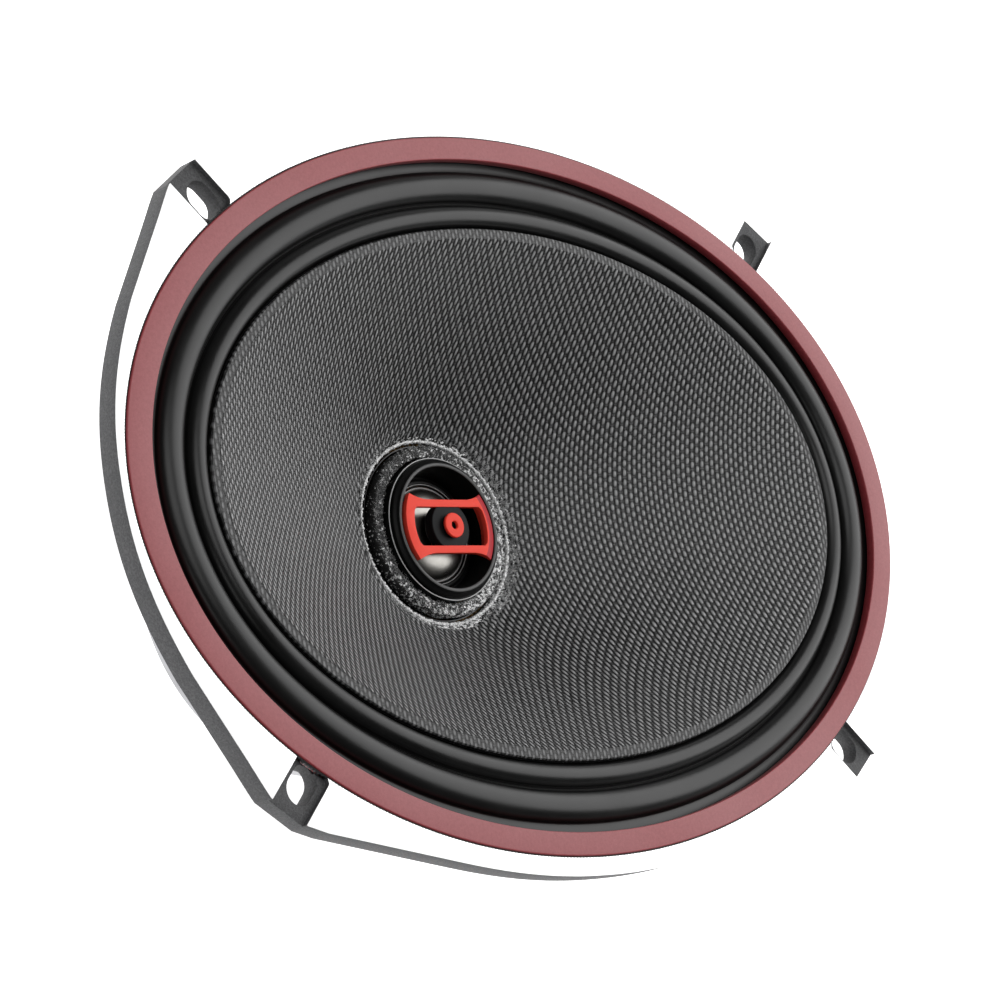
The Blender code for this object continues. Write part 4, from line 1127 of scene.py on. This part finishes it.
def make_tweeter_suspension():
    low, high = heights("tweeter_suspension")
    outer = radius_of("tweeter_suspension")
    inner = DOME_RADIUS + GAP
    steps = 192
    top = [(inner, low + 0.4)] + arc((11.75, low + 0.4), (0.75, high - low - 0.4), 180, 0, 14) + [(outer, low + 0.4)]
    under = [(radius, height - 0.38) for radius, height in reversed(top)]
    mesh = smooth(turned_mesh("tweeter_suspension", top + under, steps), 45)
    ring = add_object("suspension_ring", mesh, HOUSING)
    flex(ring)
    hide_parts("tweeter_suspension")
    # A thin pale ring on the suspension's inner edge: painted highlight.
    ridge = arc((inner + 0.32, low + 0.72), (0.13, 0.15), 180, -180, 12)[:-1]
    turned("suspension_ridge_highlight", ridge, PAINTED_HIGHLIGHT_LINE_DIM, "tweeter_diaphragm", "dome_film", steps=192, angle=180)


def make_guard():
    """The red bridge: two curved ends with pointed corners, joined by two bars."""
    half = node_box("tweeter_guard")[1][1]
    swing = math.degrees(math.asin(half / GUARD_RADIUS))
    tip = (GUARD_RADIUS * math.cos(math.radians(swing)), half)
    bar_high = 5.9
    bar_low = 4.3
    inner = GUARD_RADIUS - 2.4
    flare = bezier(tip, (tip[0] - 1.5, tip[1] - 0.75), (tip[0] - 3.4, bar_high + 0.05), (tip[0] - 5.6, bar_high), 12)
    quadrant = arc((0, 0), (GUARD_RADIUS,) * 2, 0, swing, 16)[:-1] + flare + [(0, bar_high)]
    guard = add_object("guard_bridge", extruded_mesh("guard", four_quadrants(quadrant), GUARD_LOW, GUARD_TOP), GUARD)
    end_angle = math.degrees(math.asin((bar_low - 0.7) / inner))
    corner = (inner * math.cos(math.radians(end_angle)) - 0.75, bar_low)
    hole = arc((0, 0), (inner,) * 2, 0, end_angle, 10) + [corner, (0, bar_low)]
    hole_mesh = extruded_mesh("hole", four_quadrants(hole), GUARD_LOW - 1, GUARD_TOP + 1)
    wedge = [(GUARD_RADIUS - 3.0, GUARD_TOP + 0.4), (GUARD_RADIUS + 2, GUARD_TOP + 0.4),
             (GUARD_RADIUS + 2, GUARD_TOP - 1.5)]
    slope = turned_mesh("slope", wedge, 160)
    half_slope = bmesh.new()
    half_slope.from_mesh(slope)
    bmesh.ops.bisect_plane(half_slope, geom=half_slope.verts[:] + half_slope.edges[:] + half_slope.faces[:],
                           plane_co=(0, 0, 0), plane_no=(1, 0, 0), clear_inner=True)
    bmesh.ops.holes_fill(half_slope, edges=[edge for edge in half_slope.edges if edge.is_boundary])
    half_slope.to_mesh(slope)
    half_slope.free()
    boolean(guard, "DIFFERENCE", add_object("hole", hole_mesh, GUARD), add_object("slope", slope, GUARD))
    soften(guard, 0.1, 40)
    paint_shade_on_far_sides(guard)
    place(guard, "frame", "guard_red", "tweeter_guard")
    for sign in (1, -1):
        span = (90 - 90 * sign - swing + 7, 90 - 90 * sign + swing - 7)
        outline = arc((0, 0), (GUARD_RADIUS - 0.15,) * 2, *span, 24)
        outline += arc((0, 0), (GUARD_RADIUS - 0.9,) * 2, span[1], span[0], 24)
        leg = add_object(f"guard_foot_{'right' if sign > 0 else 'left'}",
                         extruded_mesh("foot", outline, GUARD_LOW - 2.4, GUARD_LOW + 0.1), GUARD)
        soften(leg, 0.1, 35)
        place(leg, "frame", "guard_red")


def paint_shade_on_far_sides(guard):
    """Paints shade on the guard: the faces that slope away towards +X get a darker copy of its red."""
    guard.data.materials.append(GUARD_PAINTED_SHADE)
    for face in guard.data.polygons:
        if face.normal.x > 0.15 and face.normal.z < 0.99:
            face.material_index = 1


def soften(obj, width, angle, segments=3):
    """Rounds a piece's sharp edges."""
    bevel = obj.modifiers.new("bevel", "BEVEL")
    bevel.width = width * MM
    bevel.segments = segments
    bevel.limit_method = "ANGLE"
    bevel.angle_limit = math.radians(angle)
    bevel.use_clamp_overlap = True
    apply_modifiers(obj)
    smooth(obj.data, 30)


def make_plug():
    low, high = heights("phase_plug")
    foot, waist, face = 4.4, 5.1, radius_of("phase_plug")
    section = [(0.02, high - 0.2), (face, high - 0.2), (face, low + 1.2), (waist, low + 0.7), (foot, low), (0.02, low)]
    turned("plug_body", rounded(section, 0.3, 4, skip=(0, 5)), PLUG, "frame", "housing_black", ("phase_plug",), 160)
    low, high = heights("phase_plug_cap")
    outer = radius_of("phase_plug_cap")
    cap = rounded(ring_section(0.85, outer, low, high), 0.3, 5)
    turned("plug_cap_ring", cap, GUARD, "frame", "guard_red", ("phase_plug_cap",), 128)


def make_tweeter_inside():
    """The tweeter's yoke, magnet, pole plate, coil and post."""
    low, high = heights("tweeter_yoke")
    outer = radius_of("tweeter_yoke")
    cup = [(0.02, low + 2.2), (11.2, low + 2.2), (11.2, high), (outer, high), (outer, low), (0.02, low)]
    turned("tweeter_cup", rounded(cup, 0.3, 3, skip=(0, 5)), PLATED, "frame", "plated_steel", ("tweeter_yoke",), 128)
    discs = (("tweeter_magnet", "tweeter_disc_magnet"), ("tweeter_top_plate", "tweeter_pole_plate"))
    for node, name in discs:
        low, high = heights(node)
        radius = radius_of(node)
        disc = [(0.02, high), (radius, high), (radius, low), (0.02, low)]
        turned(name, rounded(disc, 0.25, 3, skip=(0, 3)), PLATED, "frame", "plated_steel", (node,), 128)
    low, high = heights("tweeter_coil")
    coil = [(10.0, high), (10.7, high), (10.7, low), (10.0, low)]
    turned("tweeter_coil_turns", rounded(coil, 0.1, 2), COPPER, "tweeter_diaphragm", "copper_wire", ("tweeter_coil",), 128)
    low, high = heights("tweeter_post")
    head = HOUSING_LOW + HOUSING_FLOOR + GAP
    post = [(POST_BORE, high), (7.0, high), (7.0, head), (POST_RADIUS, head), (POST_RADIUS, 9.0)]
    for turn in range(5):
        crest = 8.4 - turn
        post += [(POST_RADIUS, crest), (POST_RADIUS - 0.35, crest - 0.5)]
    post += [(POST_RADIUS - 0.3, low), (POST_BORE, low)]
    turned("hollow_post", rounded(post, 0.12, 2), PLATED, "frame", "plated_steel", ("tweeter_post",), 96)


make_housing()
make_bezel()
make_dome()
make_tweeter_suspension()
make_guard()
make_plug()
make_tweeter_inside()

# ---------------------------------------------------------- motor, spider


def make_spider():
    """The corrugated cloth disc, from the coil's former to the basket."""
    low, high = heights("spider")
    outer = radius_of("spider")
    inner = 20.05
    steps = 288
    thick = 0.35
    flat = low + 0.45
    radii = np.concatenate([[inner, 21.4], np.linspace(22.5, 38.0, 96), [39.5, outer]])
    wave = (1 - np.cos((radii - 22.5) / (38.0 - 22.5) * 2 * math.pi * 4)) / 2
    wave[(radii < 22.5) | (radii > 38.0)] = 0
    top = flat + wave * (high - flat - 0.05)
    section = list(zip(radii, top)) + [(radius, height - thick) for radius, height in zip(radii[::-1], top[::-1])]
    mesh = smooth(turned_mesh("spider", section, steps), 60)
    spider = add_object("spider_disc", mesh, SPIDER_CLOTH.material)
    flex(spider)
    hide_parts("spider")


def make_motor():
    low, high = heights("back_plate")
    outer = radius_of("back_plate")
    bore = POST_RADIUS + GAP
    pole = [
        (bore, high),
        (17.9, high),
        (18.6, high - 0.7),
        (18.6, 6.6),
        (19.4, 6.0),
        (outer - 1.0, 6.0),
        (outer, 5.0),
        (outer, 1.4),
        (outer - 1.4, 0.0),
        (outer - 8.0, 0.0),
        (outer - 8.4, 0.35),
        (outer - 8.8, 0.0),
        (10.6, 0.0),
        (10.0, 0.6),
        (10.0, 8.0),
        (bore, 8.0),
    ]
    plate = add_object("back_plate_turned", turned_mesh("back_plate", rounded(pole, 0.25, 3)), PLATED)
    groove = [(-2.2, -50), (2.2, -50), (2.2, -2), (-2.2, -2)]
    boolean(plate, "DIFFERENCE", add_object("groove", extruded_mesh("groove", groove, -2, 3.0), PLATED))
    smooth(plate.data, 30)
    place(plate, "frame", "plated_steel", "back_plate")

    low, high = heights("magnet")
    ring = rounded(ring_section(27.0, radius_of("magnet"), low, high), 0.7, 2)
    turned("magnet_ring", ring, FERRITE, "frame", "ferrite", ("magnet",))
    middle = (low + high) / 2
    for name, height in (("lower", low + 0.2), ("upper", high - 0.2)):
        bead = arc((radius_of("magnet") - 2.3, height), (0.6, 0.45), 180, -180, 12)[:-1]
        turned(f"magnet_glue_{name}", bead, LEAD_BLACK, "frame", "ferrite", angle=180)

    low, high = heights("top_plate")
    outer = radius_of("top_plate")
    plate = rounded(ring_section(21.25, outer, low, high), 0.6, 3)
    top = add_object("top_plate_turned", turned_mesh("top_plate", plate), PLATED)
    holes = [add_object("hole", extruded_mesh("hole", arc(spot, (SCREW_HOLE,) * 2, 0, 352.5, 47), low - 2, high + 2))
             for spot in screw_places()]
    boolean(top, "DIFFERENCE", *holes)
    smooth(top.data, 30)
    place(top, "frame", "plated_steel", "top_plate")


def make_base_screws():
    """Pan-head screws with a cross recess and a threaded shank."""
    low, high = heights("basket_screw_1")
    head = BASE_FLOOR + GAP
    for index, (x, y) in enumerate(screw_places()):
        section = [(0.02, high)] + arc((0, head + 0.7), (3.4, high - head - 0.7), 84, 0, 10) + [(3.4, head), (1.9, head)]
        crest = head - 0.4
        while crest > low + 1.0:
            section += [(1.9, crest), (1.55, crest - 0.35)]
            crest -= 0.7
        section += [(1.9, low + 0.4), (1.5, low), (0.02, low)]
        screw = add_object(f"base_screw_{index + 1}", turned_mesh("screw", section, 48), BLACK_STEEL)
        arms = []
        for across, along in ((0.35, 1.7), (1.7, 0.35)):
            outline = [(-across, -along), (across, -along), (across, along), (-across, along)]
            arms.append(add_object("recess", extruded_mesh("recess", outline, high - 1.3, high + 1), BLACK_STEEL))
        boolean(screw, "DIFFERENCE", *arms)
        smooth(screw.data, 30)
        screw.location = (x * MM, y * MM, 0)
        place(screw, "frame", "black_steel", f"basket_screw_{index + 1}")


def make_post_hardware():
    low, high = heights("post_spacer")
    bore = POST_RADIUS + GAP
    outer = radius_of("post_spacer")
    spacer = rounded(ring_section(bore, outer, low, high), 0.4, 3)
    turned("spacer_ring", spacer, BLACK_STEEL, "frame", "black_steel", ("post_spacer",), 96)
    low, high = heights("post_washer")
    washer = rounded(ring_section(bore, radius_of("post_washer"), low, high), 0.15, 2)
    turned("washer_ring", washer, PLATED, "frame", "plated_steel", ("post_washer",), 96)
    low, high = heights("post_nut")
    across = radius_of("post_nut")
    nut = add_object("hex_nut", extruded_mesh("nut", arc((0, 0), (across, across), 0, 300, 5), low, high), PLATED)
    hole = add_object("hole", extruded_mesh("hole", arc((0, 0), (bore, bore), 0, 352.5, 47), low - 1, high + 1), PLATED)
    boolean(nut, "DIFFERENCE", hole)
    soften(nut, 0.3, 35)
    place(nut, "frame", "plated_steel", "post_nut")


# --------------------------------------------------- terminals and leads


def make_board():
    low, high = node_box("terminal_board")
    outline = rounded([(low[0], low[2]), (high[0], low[2]), (high[0], high[2]), (low[0], high[2])], 2.0, 6)
    board = add_object("terminal_plate", extruded_mesh("board", outline, -high[1], -low[1]), LAMINATE.material)
    upright(board)
    soften(board, 0.2, 35)
    place(board, "frame", "board_laminate", "terminal_board")


def upright(obj):
    """Turns a piece made flat on X and Y so that its outline stands on X and Z, facing -Y."""
    obj.data.transform(Matrix.Rotation(math.radians(90), 4, "X"))
    return obj


def make_terminals():
    for name in ("positive", "negative"):
        low, high = node_box("terminal_" + name)
        middle = (low[0] + high[0]) / 2
        half = (high[0] - low[0]) / 2
        back, front = high[1], low[1]
        end, bend_low, bend_high, top = low[2], 50.6, 51.6, high[2]
        offset = 0.6
        rear = [(back, top), (back, bend_high), (back - offset, bend_low), (back - offset, end)]
        face = [(y - 0.8, height) for y, height in reversed(rear)]
        mesh = extruded_mesh("blade", rear + face, -half, half)
        mesh.transform(Matrix.Rotation(math.radians(90), 4, "Z") @ Matrix.Rotation(math.radians(90), 4, "X"))
        mesh.transform(Matrix.Translation((middle * MM, 0, 0)))
        blade = add_object("blade_" + name, mesh, TIN)
        hole = add_object("dimple", extruded_mesh("dimple", arc((middle, 46.4), (0.8, 0.8), 0, 345, 23), -front - 2, -front + 1), TIN)
        upright(hole)
        clip = []
        for sign in (1, -1):
            corner = [(middle + sign * half, end - 0.1), (middle + sign * (half - 1.3), end - 0.1), (middle + sign * half, end + 1.3)]
            corner.append((middle + sign * (half + 1), end + 1.3))
            corner.append((middle + sign * (half + 1), end - 0.1))
            clip.append(upright(add_object("clip", extruded_mesh("clip", corner, 60, 75), TIN)))
        boolean(blade, "DIFFERENCE", hole, *clip)
        soften(blade, 0.1, 35, 2)
        place(blade, "frame", "terminal_tin", "terminal_" + name)
        make_rivet(name)


def make_rivet(name):
    low, high = node_box("rivet_" + name)
    middle = ((low[0] + high[0]) / 2, (low[2] + high[2]) / 2)
    outer = (high[0] - low[0]) / 2
    head = -low[1]
    section = [(0.7, head - 0.9), (0.7, head - 0.1), (1.2, head), (outer - 0.4, head - 0.35), (outer, head - 0.8),
               (outer - 0.2, head - 0.9), (1.3, head - 0.9), (1.3, -high[1]), (0.7, -high[1])]
    mesh = turned_mesh("rivet", rounded(section, 0.12, 3), 64)
    rivet = upright(add_object("rivet_tube_" + name, smooth(mesh), BRASS))
    rivet.location = (middle[0] * MM, 0, middle[1] * MM)
    place(rivet, "frame", "brass_rivet", "rivet_" + name)


def make_capacitor():
    low, high = node_box("crossover_capacitor")
    centre = ((low[0] + high[0]) / 2, (low[1] + high[1]) / 2)
    radius = (high[0] - low[0]) / 2
    section = [(0.02, high[2]), (radius - 0.3, high[2] - 0.2), (radius, high[2] - 1.2), (radius - 0.15, high[2] - 2.2),
               (radius, high[2] - 3.2), (radius, low[2] + 1.2), (radius - 0.3, low[2] + 0.2), (0.02, low[2])]
    mesh = smooth(turned_mesh("capacitor", rounded(section, 0.5, 4, skip=(0, 7)), 96))
    can = add_object("capacitor_can", mesh, CAPACITOR)
    can.location = (centre[0] * MM, centre[1] * MM, 0)
    place(can, "frame", "capacitor_film", "crossover_capacitor")
    blade_top = node_box("terminal_positive")[1]
    for side, label, height in ((1, "upper", high[2]), (-1, "lower", low[2])):
        away = 1.0 if side > 0 else -1.0
        foot = (side * 10.0, blade_top[1] - 0.9, 60.0 if side > 0 else 53.6)
        route = [(centre[0], centre[1], height - away * 0.3), (centre[0], centre[1], height + away * 0.8),
                 (side * 1.6, centre[1], height + away * 1.5), (side * 4.6, centre[1] + 0.8, height + away * 1.2),
                 (side * 8.0, foot[1] - 0.4, foot[2] + away * 0.4), foot]
        if side < 0:
            route = [(x, y, max(z, low[2] - 1.6)) for x, y, z in route]
        wire = tube_mesh("wire", smooth_route(route, 0.5), 0.3, 12)
        place(add_object(f"capacitor_wire_{label}", smooth(wire, 60), TIN), "frame", "terminal_tin")


TINSEL_ROUTE = ((10, -64.6, 57), (10, -58, 53.5), (9.5, -50, 52), (8.5, -42, 53.5), (7.6, -36, 56.9), (7.2, -33.4, 58.8))
TWEETER_LEAD_ROUTE = (
    (0.85, 0, 38.7), (0.85, 0, 30), (0.85, 0, 20), (0.85, 0, 10), (0.85, -0.5, 4.2), (0.85, -3.5, 1.9),
    (0.85, -12, 1.6), (0.85, -28, 1.6), (0.85, -42, 1.6), (0.9, -47.4, 4.0), (1.5, -48.2, 14), (3.0, -48.6, 26),
    (5.0, -50.5, 37), (8.2, -55.5, 44.5), (11.5, -61, 49.0), (13.0, -64.6, 52.0),
)


def braid_mesh(name, route, radius, strands=8, turns_per_mm=0.32):
    """Strands wound both ways round a core, rising and falling over each other."""
    route = np.asarray(route, float)
    forward = np.gradient(route, axis=0)
    forward /= np.linalg.norm(forward, axis=1)[:, None]
    reach = np.concatenate([[0], np.cumsum(np.linalg.norm(np.diff(route, axis=0), axis=1))])
    side = np.cross(forward, (1.0, 0.0, 0.0))
    side /= np.linalg.norm(side, axis=1)[:, None]
    other = np.cross(forward, side)
    points, faces, first = [], [], 0
    for strand in range(strands):
        way = 1 if strand % 2 else -1
        phase = 2 * math.pi * (strand // 2) / (strands / 2)
        turn = way * reach * turns_per_mm * 2 * math.pi + phase
        lift = radius * (0.72 + way * 0.1 * np.cos(turn * strands / 2))
        line = route + lift[:, None] * (np.cos(turn)[:, None] * side + np.sin(turn)[:, None] * other)
        tube = tube_mesh("strand", line, radius * 0.3, 6)
        count = len(tube.vertices)
        co = np.zeros(count * 3, np.float32)
        tube.vertices.foreach_get("co", co)
        points.append(co.reshape(-1, 3) / MM)
        faces.append(grid_faces(len(line), 6, wrap_columns=True) + first)
        first += count
        bpy.data.meshes.remove(tube)
    return smooth(mesh_from(name, np.concatenate(points), np.concatenate(faces)), 180)


def make_leads():
    for side, name, colour in ((1, "positive", LEAD_RED), (-1, "negative", LEAD_BLACK)):
        route = smooth_route([(side * x, y, z) for x, y, z in TINSEL_ROUTE], 0.25)
        braid = add_object("tinsel_braid_" + name, braid_mesh("braid", route, 0.6), BRAID)
        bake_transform(braid)
        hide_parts("tinsel_lead_" + name)
        route = smooth_route([(side * x, y, z) for x, y, z in TWEETER_LEAD_ROUTE], 1.0)
        wire = add_object("insulated_lead_" + name, smooth(tube_mesh("lead", route, 0.6, 16), 60), colour)
        place(wire, "frame", "lead_red" if side > 0 else "lead_black", "tweeter_lead_" + name)


make_spider()
make_motor()
make_base_screws()
make_post_hardware()
make_board()
make_terminals()
make_capacitor()
make_leads()

# ------------------------------------------------------------------- stage


def add_camera():
    data = bpy.data.cameras.new("camera")
    data.lens = CAMERA_LENS
    data.sensor_width = SENSOR_WIDTH
    data.clip_start = 0.01
    data.clip_end = 20.0
    camera = bpy.data.objects.new("camera", data)
    bpy.context.scene.collection.objects.link(camera)
    camera.matrix_world = Matrix.Translation(CAMERA_PLACE) @ Matrix(CAMERA_AXES).transposed().to_4x4()
    bpy.context.scene.camera = camera


def add_softbox(name, direction, distance, size, power):
    """A square light that faces the middle of the speaker."""
    towards = np.array(direction, float) / np.linalg.norm(direction)
    data = bpy.data.lights.new(name, "AREA")
    data.shape = "RECTANGLE"
    data.size, data.size_y = size
    data.energy = power
    lamp = bpy.data.objects.new(name, data)
    lamp.location = towards * distance
    lamp.rotation_mode = "QUATERNION"
    lamp.rotation_quaternion = lamp.location.to_track_quat("Z", "Y")
    bpy.context.scene.collection.objects.link(lamp)


def add_floor():
    steps = 96
    points = [(0, 0, -0.02)] + [(4000 * math.cos(a), 4000 * math.sin(a), -0.02)
                                for a in np.linspace(0, 2 * math.pi, steps, endpoint=False)]
    faces = [(0, index + 1, (index + 1) % steps + 1) for index in range(steps)]
    shade = Shade("floor_white", (0.9, 0.9, 0.9), 0.9)
    cloud = shade.noise(0.002, 2.0)
    shade.colour(shade.blend(cloud, (0.88, 0.88, 0.88), (0.92, 0.92, 0.92)))
    shade.put(shade.shader, "Emission Color", (1, 1, 1, 1))
    shade.put(shade.shader, "Emission Strength", FLOOR_GLOW)
    add_object("floor", mesh_from("floor", points, faces), shade.material)


def add_world():
    """A white room: bright at the horizon, dimmer overhead, where the softboxes hang."""
    world = bpy.data.worlds.new("studio")
    bpy.context.scene.world = world
    world.use_nodes = True
    nodes, links = world.node_tree.nodes, world.node_tree.links
    background = nodes["Background"]
    coordinates = nodes.new("ShaderNodeTexCoord")
    parts = nodes.new("ShaderNodeSeparateXYZ")
    ramp = nodes.new("ShaderNodeValToRGB")
    links.new(coordinates.outputs["Generated"], parts.inputs[0])
    links.new(parts.outputs["Z"], ramp.inputs["Fac"])
    links.new(ramp.outputs["Color"], background.inputs["Color"])
    low, high = ramp.color_ramp.elements
    low.position, low.color = 0.1, (1, 1, 1, 1)
    high.position, high.color = 0.3, (*WORLD_TOP, 1)
    background.inputs["Strength"].default_value = 1.0


FLOOR_GLOW = 1.0
WORLD_TOP = (0.06, 0.06, 0.06)
SOFTBOXES = (  # name, direction, distance, size, power
    ("mirror_side", (0.71, 0.18, 0.68), 1.5, (1.5, 1.5), 20),
    ("overhead", (-0.25, 0.15, 1.0), 1.4, (0.8, 0.8), 5),
    ("front_left", (-0.9, -0.6, 0.5), 1.5, (0.6, 0.9), 2),
)

add_floor()
add_world()
for softbox in SOFTBOXES:
    add_softbox(*softbox)
add_camera()
bpy.context.scene.view_settings.view_transform = "Standard"
